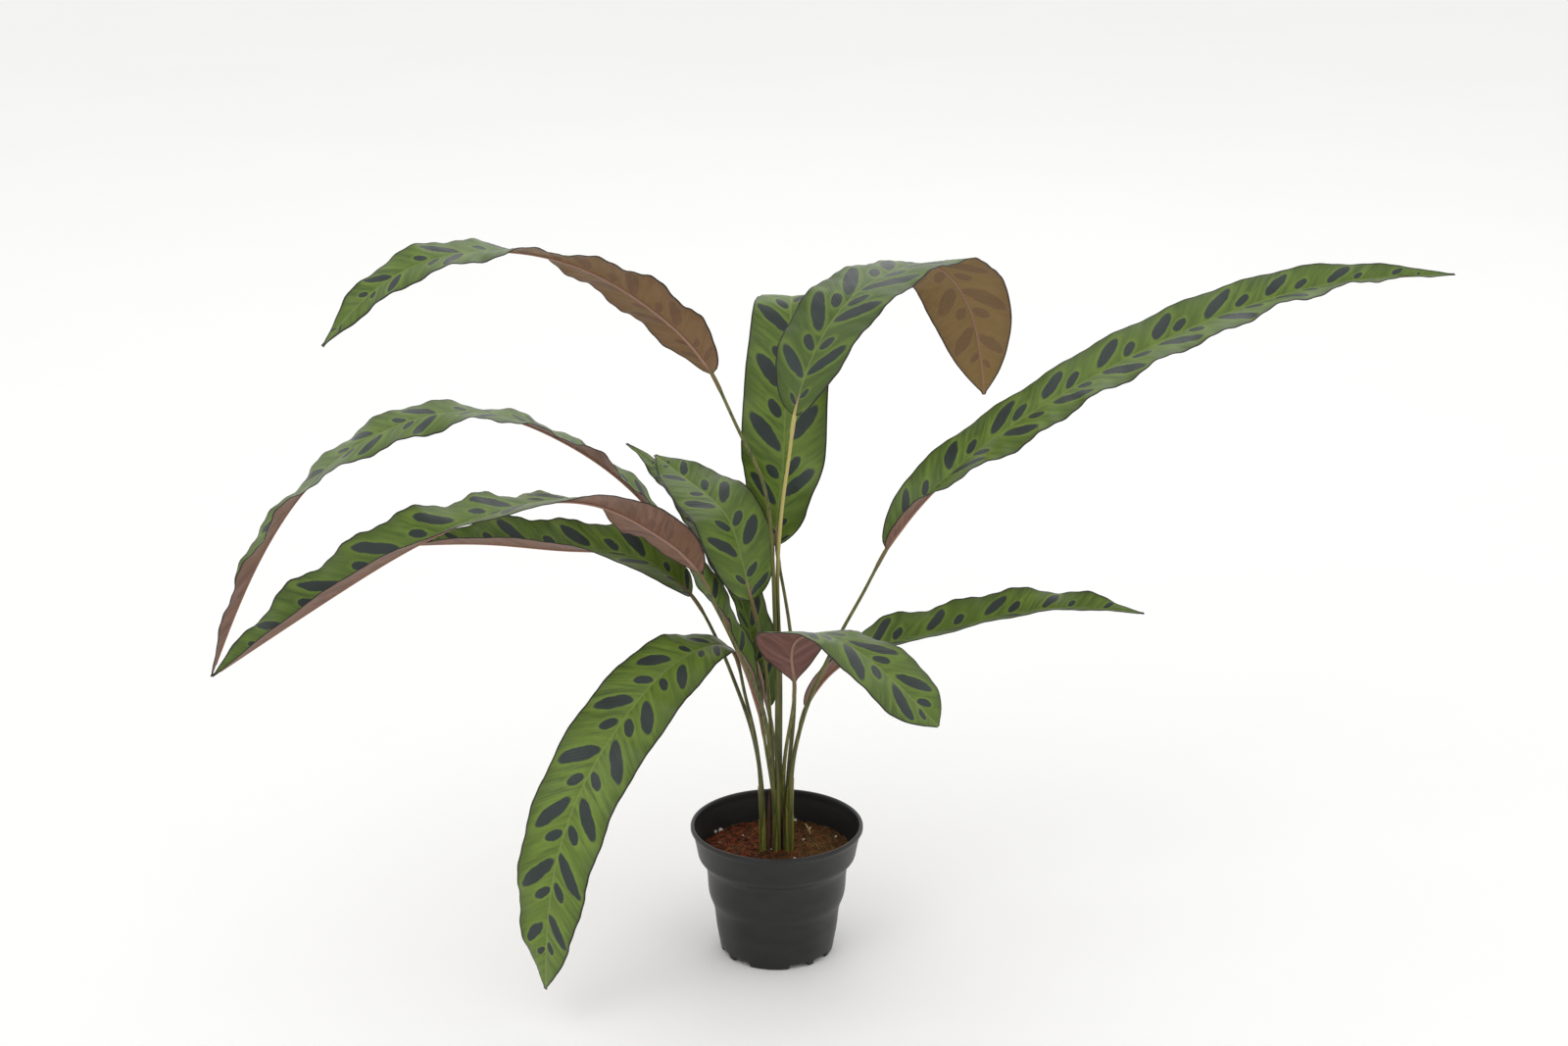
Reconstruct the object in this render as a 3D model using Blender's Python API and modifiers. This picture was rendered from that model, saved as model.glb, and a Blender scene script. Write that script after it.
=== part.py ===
"""Potted calathea: a black nursery pot filled with coir soil, twelve stems and twelve waved leaf blades.

All sizes here are millimetres. The origin is the middle of the pot's flat underside, +Z is up and the
side of the plant that faces a viewer is -Y. Angles are degrees.
"""
import math
from dataclasses import dataclass

import bmesh
import bpy
import numpy as np
from mathutils import Vector, noise

MM = 0.001
PART_NAME = "potted_calathea"
TURN_STEPS = 32
TOUCH_GAP = 0.3
MERGE_DISTANCE = 0.01
CURVE_SAMPLES = 400

# Pot: outside outline from the foot to the underside of the rim, as (radius, height).
POT_HEIGHT = 94.0
RIM_RADIUS = 60.0
POT_WALL = 1.3
POT_BODY = (
    (38.0, 0.0), (39.3, 1.4), (43.2, 24.0), (44.9, 36.0), (46.9, 41.5), (47.8, 46.0),
    (49.2, 62.5), (50.9, 67.0), (54.3, 71.0), (55.4, 75.0), (58.5, 90.0),
)
RIM_BEAD = ((RIM_RADIUS, 90.6), (RIM_RADIUS, 93.2), (59.2, POT_HEIGHT), (57.9, POT_HEIGHT), (57.2, 92.8))
FLOOR_HEIGHT = 4.8
FLOOR_CORNER = (1.5, 1.2)
INSIDE_START = 6.8
RECESS_HEIGHT = 3.2
RECESS_DRAFT = 0.6
FOOT_RING_INSIDE = 34.0
FOOT_DISC_RADIUS = 13.0

# Drain notches in the foot ring: two beside each of four wide feet.
FOOT_COUNT = 4
FOOT_TURN = -98.0
NOTCH_FROM_FOOT = 31.5
NOTCH_SIZE = (14.0, 13.0, 6.0)
NOTCH_RADIUS = 40.0
NOTCH_TOP = 3.5

# Soil: it fills the pot to this height at the wall, and its top is rough with clods that fade out there.
SOIL_EDGE_HEIGHT = 72.5
SOIL_CORNER = (2.0, 1.4)
SOIL_CROWN = 1.5
SOIL_RINGS = 6
CLOD_SIZE = 9.0
CLOD_HEIGHT = 1.6
CLOD_FADE = 0.25
SOIL_SEED_SHIFT = (3.1, 7.7, 0.0)
HOLE_FLOOR = 44.5
HOLE_SIDES = 16
HOLE_DEPTH = 60.0

# Stems: each goes through these points from the soil up to its blade.
STEM_RADIUS = 1.0
STEM_SIDES_RESOLUTION = 1
STEM_STEP = 13.0
STEM_FOOT = HOLE_FLOOR + TOUCH_GAP
STEM_CLUMPS = {
    "left": (-9.4, 0.2, 3.0),
    "middle": (0.0, 0.0, 4.2),
    "right": (8.3, 0.3, 3.2),
    "back": (3.6, 5.4, 1.5),
}
JOIN_GAP = 0.8

# Blades: rows of points along the midrib, at these places across from edge to edge.
BLADE_STEP = 8.5
BLADE_SIDES = (-1.0, -0.5, 0.0, 0.5, 1.0)
BLADE_THICKNESS = 0.8
MIDRIB_THICKNESS = 1.6
BLADE_END_HALF_WIDTH = 1.2
WIDEST_AT = 0.32
HEADING_STEADINESS = 0.15
EDGE_DROOP = 0.10

# Edge waves: a main wave and a slower one, each edge starting at its own place in them.
WAVE_LENGTH = 46.0
WAVE_HEIGHT = 2.0
WAVE_FADE = 0.12
WAVE_SPREAD = 1.6
OTHER_EDGE_START = 1.7
SLOW_WAVE_HEIGHT = 0.45
SLOW_WAVE_RATE = 0.63
SLOW_WAVE_START = (2.1, 1.0)


@dataclass(frozen=True)
class Leaf:
    """One leaf: its stem's points, and its blade's midrib points with the blade's roll and fold at each.

    The roll raises the edge on the plus side, and the fold is how far each half is raised from flat. The
    edge waves are the share of the usual wave on the minus and on the plus side.
    """

    name: str
    width: float
    stem: tuple
    midrib: tuple
    edge_waves: tuple = (1.0, 1.0)
    widest_at: float = WIDEST_AT
    tip_power: float = 3.4
    phase: float = 0.0


LEAVES = (
    Leaf("a", 50.0,
         stem=((1.15, -2.35, 80), (0.6, -1.8, 122), (0.2, -1.0, 160), (0.4, -0.4, 200), (-1, -0.6, 240),
               (-2, -1, 274), (-4, -4, 312), (-11, -14, 354), (-21, -20, 378), (-33, -26, 407)),
         midrib=((-42, -30, 428, 36, 13), (-79, -55, 478, 30, 12), (-118, -80, 510, 20, 11),
                 (-174, -110, 530, 4, 10), (-234, -135, 519, -18, 11), (-276, -150, 480, -24, 11)),
         phase=0.4),
    Leaf("b", 45.0,
         stem=((-1.15, 0, 80), (-1.8, -0.4, 110), (-5, -2.6, 136), (-8, -3.6, 156)),
         midrib=((-11, -3, 175, -12, 55), (-33, -3, 240, -12, 36), (-63, 2, 294, 0, 16),
                 (-98, 8, 337, 12, 18), (-146, 6, 373, 12, 16), (-200, 0, 393, 3, 5),
                 (-262, -11, 382, -12, 5), (-300, -18, 358, 4, 10), (-336, -25, 313, 6, 28),
                 (-380, -35, 218, 14, 22)), widest_at=0.62, tip_power=5.0, phase=1.3),
    Leaf("c", 54.0,
         stem=((-1.15, -2.35, 80), (-2.0, -3.8, 112), (-4, -8, 145), (-8, -16, 180), (-17, -24, 212),
               (-29, -27, 240), (-40, -26, 264)),
         midrib=((-51, -24, 287, 36, 18), (-79, -45, 323, 30, 17), (-114, -70, 351, 18, 16),
                 (-181, -115, 361, 4, 16), (-232, -142, 345, -6, 42), (-268, -160, 327, -8, 52),
                 (-347, -195, 282, -10, 46)), edge_waves=(1.3, 0.25), tip_power=5.0, phase=2.2),
    Leaf("d", 46.0,
         stem=((-8.8, 1.2, 80), (-10.0, 2.4, 112), (-13, 7, 140), (-20, 13, 168), (-28, 17, 190),
               (-36, 17, 212), (-46, 13, 237)),
         midrib=((-58, 8, 260, -20, 20), (-97, 12, 287, -18, 24), (-141, 14, 291, -12, 44),
                 (-194, 12, 296, -12, 50), (-250, 6, 297, -12, 50)), edge_waves=(1.2, 0.25), phase=0.9),
    Leaf("e", 51.0,
         stem=((-1.15, 2.35, 80), (-1.6, 3.4, 110), (-3, 6, 140), (-5, 10, 175), (-7.5, 10, 205),
               (-11.5, 6, 232)),
         midrib=((-17, 3, 258, -8, 14), (-24, 17, 284, -8, 13), (-33, 39, 304, -12, 12),
                 (-56, 75, 316, -12, 10), (-86, 110, 328, -8, 10)), edge_waves=(0.7, 0.7), phase=3.0),
    Leaf("f", 60.0,
         stem=((7.1, 1.5, 80), (7.3, 2.6, 110), (8.6, 6.5, 136), (11, 12, 160), (12, 21, 195),
               (9, 36, 226), (4, 48, 254)),
         midrib=((0, 56, 279, 0, 12), (4, 62, 332, 0, 11), (6, 74, 378, 0, 9), (9, 96, 417, 0, 8),
                 (10, 126, 437, 0, 8), (12, 160, 424, 0, 8), (14, 186, 388, 0, 8)),
         edge_waves=(0.6, 0.6), widest_at=0.24, phase=1.8),
    Leaf("g", 66.0,
         stem=((1.15, 0, 80), (1.9, 0.3, 122), (2.3, 0.8, 160), (2.4, 1.4, 200), (1.4, 1.6, 240),
               (0.6, 1.6, 274), (2, 2, 306), (5, 3, 336), (9, 4, 365)),
         midrib=((12, 4, 389, 0, 12), (26, 26, 428, 0, 11), (47, 55, 453, 0, 9), (78, 93, 465, -4, 8),
                 (112, 135, 458, -16, 8), (137, 165, 420, -34, 8), (150, 182, 351, -38, 8)),
         edge_waves=(0.7, 0.7), tip_power=6.0, phase=0.2),
    Leaf("h", 57.0,
         stem=((9.1, -1.2, 80), (9.3, -1.8, 110), (11, -2.6, 140), (15, -3, 162), (22, -4, 187),
               (32, -5, 212), (44, -6, 239), (59, -6, 268)),
         midrib=((74, -5, 298, 6, 34), (134, 8, 363, 11, 14), (205, 22, 407, 12, 13),
                 (285, 36, 444, 14, 16), (377, 48, 469, 12, 25), (457, 58, 472, 10, 25)),
         edge_waves=(1.0, 0.4), phase=2.6),
    Leaf("i", 45.0,
         stem=((9.6, 1.2, 80), (9.9, 1.7, 110), (11, 3.4, 134), (14.4, 8, 154)),
         midrib=((20, 12, 176, -30, 28), (39, 18, 202, -25, 28), (69, 25, 216, 0, 28), (113, 32, 225, 8, 30),
                 (168, 42, 235, 8, 30), (216, 48, 236, 8, 28), (256, 50, 231, 8, 26)),
         edge_waves=(0.3, 1.0), phase=1.1),
    Leaf("j", 62.0,
         stem=((3.6, 5.4, 80), (4.2, 3.4, 104), (4.6, -1, 126), (5.6, -6, 146), (9, -12, 172)),
         midrib=((12, -20, 208, 0, 12), (10, -30, 232, -4, 11), (16, -48, 252, -14, 9),
                 (34, -68, 260, -14, 8), (66, -92, 248, -2, 8), (105, -115, 215, 8, 8)),
         edge_waves=(0.6, 0.6), widest_at=0.36, tip_power=8.0, phase=2.0),
    Leaf("k", 55.0,
         stem=((-10.2, -0.9, 80), (-10.8, -1.4, 112), (-12, -1.2, 136), (-16, 1, 164), (-23, 6, 194)),
         midrib=((-30, 6, 220, -10, 10), (-59, -25, 230, -25, 9), (-97, -72, 208, -30, 8),
                 (-123, -100, 175, -30, 8), (-141, -116, 133, -26, 8), (-151, -122, 79, -26, 8),
                 (-154, -120, 28, -26, 8)), widest_at=0.42, tip_power=6.0, phase=0.7),
    Leaf("l", 36.0,
         stem=((1.15, 2.35, 80), (1.2, 4.8, 110), (0.4, 9, 132), (-2, 14, 152)),
         midrib=((-6, 18, 173, 0, 55), (-15, 24, 212, 0, 50), (-24, 36, 244, 0, 40), (-48, 70, 283, 0, 25),
                 (-78, 105, 313, 0, 20), (-107, 130, 330, 0, 20)), phase=1.6),
)


def clear_scene():
    """Remove every object of the open scene."""
    for obj in list(bpy.data.objects):
        bpy.data.objects.remove(obj, do_unlink=True)


def new_collection(name):
    """Make a collection in the scene."""
    collection = bpy.data.collections.new(name)
    bpy.context.scene.collection.children.link(collection)
    return collection


def new_material(name, colour, roughness):
    """Make a Principled material of one linear colour, with no metal in it."""
    material = bpy.data.materials.new(name)
    material.use_nodes = True
    shader = material.node_tree.nodes["Principled BSDF"]
    shader.inputs["Base Color"].default_value = (*colour, 1.0)
    shader.inputs["Roughness"].default_value = roughness
    shader.inputs["Metallic"].default_value = 0.0
    return material


def add_object(name, data, collection, material=None):
    """Link a new object to a collection and give it its material."""
    obj = bpy.data.objects.new(name, data)
    collection.objects.link(obj)
    if material:
        data.materials.append(material)
    return obj


def add_cutter(target, collection):
    """Make the object that was added last a cutter, and cut the target with it."""
    cutter = bpy.context.object
    cutter.hide_render = True
    cutter.display_type = "WIRE"
    for old in list(cutter.users_collection):
        old.objects.unlink(cutter)
    collection.objects.link(cutter)
    cut = target.modifiers.new("cut", "BOOLEAN")
    cut.operation = "DIFFERENCE"
    cut.solver = "EXACT"
    cut.object = cutter
    return cutter


def smooth_curve(points):
    """Natural cubic spline through rows of values, its parameter the length of the chords.

    Returns the function that reads rows off the curve, and the parameters of its points.
    """
    rows = np.array(points, float)
    chords = np.linalg.norm(np.diff(rows[:, :3], axis=0), axis=1)
    knots = np.concatenate([[0.0], np.cumsum(chords)])
    count = len(rows)
    matrix = np.zeros((count, count))
    right = np.zeros_like(rows)
    matrix[0, 0] = matrix[-1, -1] = 1.0
    for i in range(1, count - 1):
        matrix[i, i - 1:i + 2] = chords[i - 1], 2.0 * (chords[i - 1] + chords[i]), chords[i]
        right[i] = 6.0 * ((rows[i + 1] - rows[i]) / chords[i] - (rows[i] - rows[i - 1]) / chords[i - 1])
    bends = np.linalg.solve(matrix, right)

    def read(parameter):
        """Rows of the curve at these parameters."""
        k = np.clip(np.searchsorted(knots, parameter, side="right") - 1, 0, count - 2)
        after = (knots[k + 1] - parameter)[:, None]
        before = (parameter - knots[k])[:, None]
        span = chords[k][:, None]
        bent = (bends[k] * after**3 + bends[k + 1] * before**3) / (6.0 * span)
        return (bent + (rows[k] / span - bends[k] * span / 6.0) * after
                + (rows[k + 1] / span - bends[k + 1] * span / 6.0) * before)

    return read, knots


def even_rows(read, start, end, step):
    """Rows of a smooth curve between two of its parameters, about one step apart along it."""
    fine = np.linspace(start, end, CURVE_SAMPLES)
    lengths = np.linalg.norm(np.diff(read(fine)[:, :3], axis=0), axis=1)
    travelled = np.concatenate([[0.0], np.cumsum(lengths)])
    count = max(4, round(travelled[-1] / step))
    return read(np.interp(np.linspace(0.0, travelled[-1], count + 1), travelled, fine))


def unit(vectors):
    """Vectors scaled to length one."""
    return vectors / np.linalg.norm(vectors, axis=-1, keepdims=True)


def blade_frames(rows):
    """Across and upper-face directions along a midrib, turned by the roll in the rows' fourth column."""
    middle = rows[:, :3]
    forward = unit(np.gradient(middle, axis=0))
    level = (1.0, 1.0, 0.0)
    overall = unit((middle[-1] - middle[0]) * level)
    heading = unit(forward * level + HEADING_STEADINESS * overall)
    across = np.cross((0.0, 0.0, 1.0), heading)
    across = unit(across - np.sum(across * forward, axis=1, keepdims=True) * forward)
    upper = np.cross(forward, across)
    roll = np.radians(rows[:, 3:4])
    return (np.cos(roll) * across + np.sin(roll) * upper,
            np.cos(roll) * upper - np.sin(roll) * across)


def half_widths(leaf, along):
    """Half of the blade's width along it: a rounded base, then a taper to the tip."""
    swell = np.sqrt(np.clip(1.0 - (1.0 - along / leaf.widest_at) ** 2, 0.0, 1.0))
    taper = 1.0 - np.clip((along - leaf.widest_at) / (1.0 - leaf.widest_at), 0.0, 1.0) ** leaf.tip_power
    shape = np.where(along < leaf.widest_at, swell, taper)
    return np.maximum(leaf.width / 2.0 * shape, BLADE_END_HALF_WIDTH)


def edge_wave(leaf, along, length, side):
    """Height of the waves along one edge of the blade, fading out at its ends."""
    turns = 2.0 * math.pi * along * length / WAVE_LENGTH
    start = leaf.phase + (0.0 if side < 0.0 else OTHER_EDGE_START)
    slow_start = SLOW_WAVE_START[0] * start + SLOW_WAVE_START[1]
    wave = np.sin(turns + start) + SLOW_WAVE_HEIGHT * np.sin(SLOW_WAVE_RATE * turns + slow_start)
    fade = np.clip(np.minimum(along, 1.0 - along) / WAVE_FADE, 0.0, 1.0)
    return leaf.edge_waves[0 if side < 0.0 else 1] * WAVE_HEIGHT * fade * wave


def blade_surface(leaf, rows, sides):
    """Points of the blade's upper face for each place across it, -1 and 1 being its two edges."""
    across, upper = blade_frames(rows)
    length = np.sum(np.linalg.norm(np.diff(rows[:, :3], axis=0), axis=1))
    along = np.linspace(0.0, 1.0, len(rows))
    half = half_widths(leaf, along)
    fold = np.radians(rows[:, 4])
    columns = []
    for side in sides:
        out = half * side * np.cos(fold)
        lift = half * abs(side) * np.sin(fold) - EDGE_DROOP * half * side**2
        lift = lift + abs(side) ** WAVE_SPREAD * edge_wave(leaf, along, length, side)
        columns.append(rows[:, :3] + out[:, None] * across + lift[:, None] * upper)
    return np.array(columns)


def leaf_curve(leaf):
    """One smooth curve up the stem and on along the midrib, with its parameters at blade and tip."""
    first = leaf.stem[0]
    stem = ((first[0], first[1], STEM_FOOT),) + leaf.stem
    turns = leaf.midrib[0][3:]
    read, knots = smooth_curve(tuple((*point, *turns) for point in stem) + leaf.midrib)
    return read, knots[len(stem)], knots[-1]


def build_blade(leaf, collection, material):
    """Make one blade: a grid bent to the leaf's surface, made solid below it, thicker at the midrib."""
    read, base, tip = leaf_curve(leaf)
    rows = even_rows(read, base, tip, BLADE_STEP)
    last_row = len(rows) - 1
    last_column = len(BLADE_SIDES) - 1
    surface = blade_surface(leaf, rows, BLADE_SIDES)
    bm = bmesh.new()
    bmesh.ops.create_grid(bm, x_segments=last_row, y_segments=last_column, size=1.0)
    bmesh.ops.triangulate(bm, faces=bm.faces[:], quad_method="FIXED")
    centre_points = []
    for index, vert in enumerate(bm.verts):
        row = round((vert.co.x + 1.0) / 2.0 * last_row)
        column = round((vert.co.y + 1.0) / 2.0 * last_column)
        vert.co = Vector(surface[column, row]) * MM
        if BLADE_SIDES[column] == 0.0:
            centre_points.append(index)
    mesh = bpy.data.meshes.new("leaf_" + leaf.name)
    bm.to_mesh(mesh)
    bm.free()
    blade = add_object("leaf_" + leaf.name, mesh, collection, material)
    mesh.shade_smooth()
    midrib = blade.vertex_groups.new(name="midrib")
    midrib.add(centre_points, 1.0, "REPLACE")
    solid = blade.modifiers.new("thickness", "SOLIDIFY")
    solid.thickness = MIDRIB_THICKNESS * MM
    solid.offset = -1.0
    solid.vertex_group = midrib.name
    solid.thickness_vertex_group = BLADE_THICKNESS / MIDRIB_THICKNESS
    return blade


def build_stem(leaf, collection, material):
    """Make one stem, from its foot in the soil to just short of its blade."""
    read, base, _ = leaf_curve(leaf)
    rows = even_rows(read, 0.0, base - JOIN_GAP, STEM_STEP)[:, :3]
    curve = bpy.data.curves.new("stem_" + leaf.name, "CURVE")
    curve.dimensions = "3D"
    curve.bevel_depth = STEM_RADIUS * MM
    curve.bevel_resolution = STEM_SIDES_RESOLUTION
    curve.use_fill_caps = True
    spline = curve.splines.new("POLY")
    spline.points.add(len(rows) - 1)
    for point, row in zip(spline.points, rows):
        point.co = (*(row * MM), 1.0)
    return add_object("stem_" + leaf.name, curve, collection, material)


def turned_outline():
    """Pot's closed outline as (radius, height): up the inside, over the rim, down the outside, below."""
    inside = [(radius - POT_WALL, height) for radius, height in POT_BODY if height > INSIDE_START]
    corner_height = FLOOR_HEIGHT + FLOOR_CORNER[1]
    corner = inner_radius(corner_height)
    below = [(FOOT_RING_INSIDE, 0.0), (FOOT_RING_INSIDE - RECESS_DRAFT, RECESS_HEIGHT),
             (FOOT_DISC_RADIUS + RECESS_DRAFT, RECESS_HEIGHT), (FOOT_DISC_RADIUS, 0.0), (0.0, 0.0)]
    up = [(0.0, FLOOR_HEIGHT), (corner - FLOOR_CORNER[0], FLOOR_HEIGHT), (corner, corner_height)] + inside
    return up + list(reversed(RIM_BEAD)) + list(reversed(POT_BODY)) + below


def build_pot(collection, cutters, material):
    """Turn the pot and cut the drain notches in its foot ring."""
    mesh = bpy.data.meshes.new("pot")
    outline = turned_outline()
    edges = [(i, i + 1) for i in range(len(outline) - 1)]
    mesh.from_pydata([(radius * MM, 0.0, height * MM) for radius, height in outline], edges, [])
    pot = add_object("pot", mesh, collection, material)
    turn = pot.modifiers.new("turn", "SCREW")
    turn.steps = turn.render_steps = TURN_STEPS
    turn.use_merge_vertices = True
    turn.merge_threshold = MERGE_DISTANCE * MM
    for foot in range(FOOT_COUNT):
        for sign in (-1.0, 1.0):
            angle = math.radians(FOOT_TURN + foot * 360.0 / FOOT_COUNT + sign * NOTCH_FROM_FOOT)
            bpy.ops.mesh.primitive_cube_add(size=1.0)
            notch = add_cutter(pot, cutters)
            notch.name = f"notch_{foot}_{'before' if sign < 0 else 'after'}"
            notch.scale = [side * MM for side in NOTCH_SIZE]
            notch.rotation_euler.z = angle
            notch.location = Vector((NOTCH_RADIUS * math.cos(angle), NOTCH_RADIUS * math.sin(angle),
                                     NOTCH_TOP - NOTCH_SIZE[2] / 2.0)) * MM
    return pot


def inner_radius(height):
    """Radius of the pot's inside at a height."""
    heights = [point[1] for point in POT_BODY]
    radii = [point[0] - POT_WALL for point in POT_BODY]
    return float(np.interp(height, heights, radii))


def soil_outline():
    """Soil's outline as (radius, height), from the middle of its bottom round to the middle of its top."""
    floor = FLOOR_HEIGHT + TOUCH_GAP
    bends = [height for _, height in POT_BODY if INSIDE_START < height < SOIL_EDGE_HEIGHT]
    side_heights = [floor + SOIL_CORNER[1]] + bends + [SOIL_EDGE_HEIGHT]
    side = [(inner_radius(height) - TOUCH_GAP, height) for height in side_heights]
    bottom = [(0.0, floor), (side[0][0] - SOIL_CORNER[0], floor)]
    rim = side[-1][0]
    rings = [rim * (1.0 - ring / SOIL_RINGS) for ring in range(1, SOIL_RINGS + 1)]
    top = [(radius, SOIL_EDGE_HEIGHT + SOIL_CROWN * (1.0 - radius / rim)) for radius in rings]
    return bottom + side + top


def build_soil(collection, cutters, material):
    """Turn the soil, roughen its top into clods and sink the round holes the stems stand in."""
    bm = bmesh.new()
    verts = [bm.verts.new((radius * MM, 0.0, height * MM)) for radius, height in soil_outline()]
    edges = [bm.edges.new(pair) for pair in zip(verts, verts[1:])]
    bmesh.ops.spin(bm, geom=verts + edges, axis=(0, 0, 1), cent=(0, 0, 0), dvec=(0, 0, 0),
                   angle=2.0 * math.pi, steps=TURN_STEPS, use_merge=True)
    bmesh.ops.remove_doubles(bm, verts=bm.verts[:], dist=MERGE_DISTANCE * MM)
    bmesh.ops.recalc_face_normals(bm, faces=bm.faces[:])
    wall = inner_radius(SOIL_EDGE_HEIGHT) * MM
    for vert in bm.verts:
        if vert.co.z > (SOIL_EDGE_HEIGHT + MERGE_DISTANCE) * MM:
            place = vert.co / (CLOD_SIZE * MM) + Vector(SOIL_SEED_SHIFT)
            inward = min(1.0, (1.0 - vert.co.xy.length / wall) / CLOD_FADE)
            vert.co.z += CLOD_HEIGHT * MM * inward * noise.noise(place)
    mesh = bpy.data.meshes.new("soil")
    bm.to_mesh(mesh)
    bm.free()
    soil = add_object("soil", mesh, collection, material)
    for name, (x, y, radius) in STEM_CLUMPS.items():
        bpy.ops.mesh.primitive_cylinder_add(vertices=HOLE_SIDES, radius=radius * MM,
                                            depth=HOLE_DEPTH * MM)
        hole = add_cutter(soil, cutters)
        hole.name = "hole_" + name
        hole.location = Vector((x, y, HOLE_FLOOR + HOLE_DEPTH / 2.0)) * MM
    return soil


def main():
    """Build the plant in its pot."""
    clear_scene()
    parts = new_collection(PART_NAME)
    cutters = new_collection("cutters")
    build_pot(parts, cutters, new_material("pot_plastic", (0.020, 0.021, 0.023), 0.42))
    build_soil(parts, cutters, new_material("soil", (0.15, 0.055, 0.022), 0.95))
    for leaf in LEAVES:
        build_stem(leaf, parts, new_material("stem_" + leaf.name, (0.15, 0.15, 0.035), 0.55))
        build_blade(leaf, parts, new_material("leaf_" + leaf.name, (0.10, 0.19, 0.030), 0.5))


main()
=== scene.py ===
"""Potted calathea: finished leaves, stalks, sheaths, coir soil and a black nursery pot.

Sizes are millimetres unless a name says otherwise, and angles are degrees. The origin is the middle of the
pot's underside, +Z is up and -Y faces the viewer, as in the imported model.
"""
from __future__ import annotations

import logging
import math
import random
from dataclasses import dataclass
from enum import Enum

import bmesh
import bpy
import numpy as np
from mathutils import Euler, Matrix, Vector, noise

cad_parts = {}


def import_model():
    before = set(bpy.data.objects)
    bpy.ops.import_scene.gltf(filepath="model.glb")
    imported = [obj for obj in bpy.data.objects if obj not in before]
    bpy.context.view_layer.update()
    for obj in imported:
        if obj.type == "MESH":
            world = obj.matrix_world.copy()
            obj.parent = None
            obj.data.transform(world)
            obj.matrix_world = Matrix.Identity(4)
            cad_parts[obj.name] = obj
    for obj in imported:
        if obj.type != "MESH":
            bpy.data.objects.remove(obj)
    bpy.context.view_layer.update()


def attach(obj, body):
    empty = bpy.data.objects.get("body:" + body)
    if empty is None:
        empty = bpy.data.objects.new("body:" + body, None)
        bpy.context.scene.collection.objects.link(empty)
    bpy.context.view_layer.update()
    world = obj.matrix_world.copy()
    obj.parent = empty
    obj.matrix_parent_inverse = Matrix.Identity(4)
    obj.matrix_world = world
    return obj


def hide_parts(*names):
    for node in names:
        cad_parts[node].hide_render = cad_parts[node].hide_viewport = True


LOG = logging.getLogger("potted_calathea")
MM = 0.001
BODY = "root"
SEED = 7
TOUCH_GAP = 0.3
MERGE_DISTANCE = 0.0001
CURVE_SAMPLES = 900
LEAF_OFFSET = 700.0

MIX_FACTOR = 0
MIX_FIRST = 6
MIX_SECOND = 7
MIX_RESULT = 2

Colour = tuple[float, float, float, float]
Span = tuple[float, float]
Row = tuple[float, ...]


class Side(Enum):
    """The two edges of a blade, as the sign of a place across it."""

    MINUS = -1.0
    PLUS = 1.0


class Clump(Enum):
    """The sheathed clumps of stalks, by where they stand in the pot."""

    LEFT = "left"
    MIDDLE = "middle"
    RIGHT = "right"


class Slot(Enum):
    """The record's material slots."""

    POT = "pot"
    SOIL = "soil"
    STEM = "stem"
    LEAF = "leaf"


def linear(hex_colour: str) -> Colour:
    """Turn an sRGB hex colour into linear values.

    Args:
        hex_colour: a colour such as "#5c7a2c".

    Returns:
        Red, green and blue in linear light, and an alpha of one.
    """
    channels = [int(hex_colour[start:start + 2], 16) / 255.0 for start in (1, 3, 5)]
    red, green, blue = [c / 12.92 if c <= 0.04045 else ((c + 0.055) / 1.055) ** 2.4 for c in channels]
    return (red, green, blue, 1.0)


def add_node(tree: bpy.types.NodeTree, kind: str, settings: dict | None = None,
             links: dict | None = None) -> bpy.types.Node:
    """Add a node with its settings and its links.

    Args:
        tree: the material's or world's node tree.
        kind: the node's type, such as "ShaderNodeMath".
        settings: values of its properties by name, or of its inputs by name or number.
        links: sockets that feed its inputs, by the input's name or number.

    Returns:
        The new node.
    """
    node = tree.nodes.new(kind)
    for key, value in (settings or {}).items():
        if isinstance(key, int) or key in node.inputs:
            node.inputs[key].default_value = value
        else:
            setattr(node, key, value)
    for key, socket in (links or {}).items():
        tree.links.new(socket, node.inputs[key])
    return node


def unit(vectors: np.ndarray) -> np.ndarray:
    """Scale vectors to length one."""
    return vectors / np.linalg.norm(vectors, axis=-1, keepdims=True)


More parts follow.
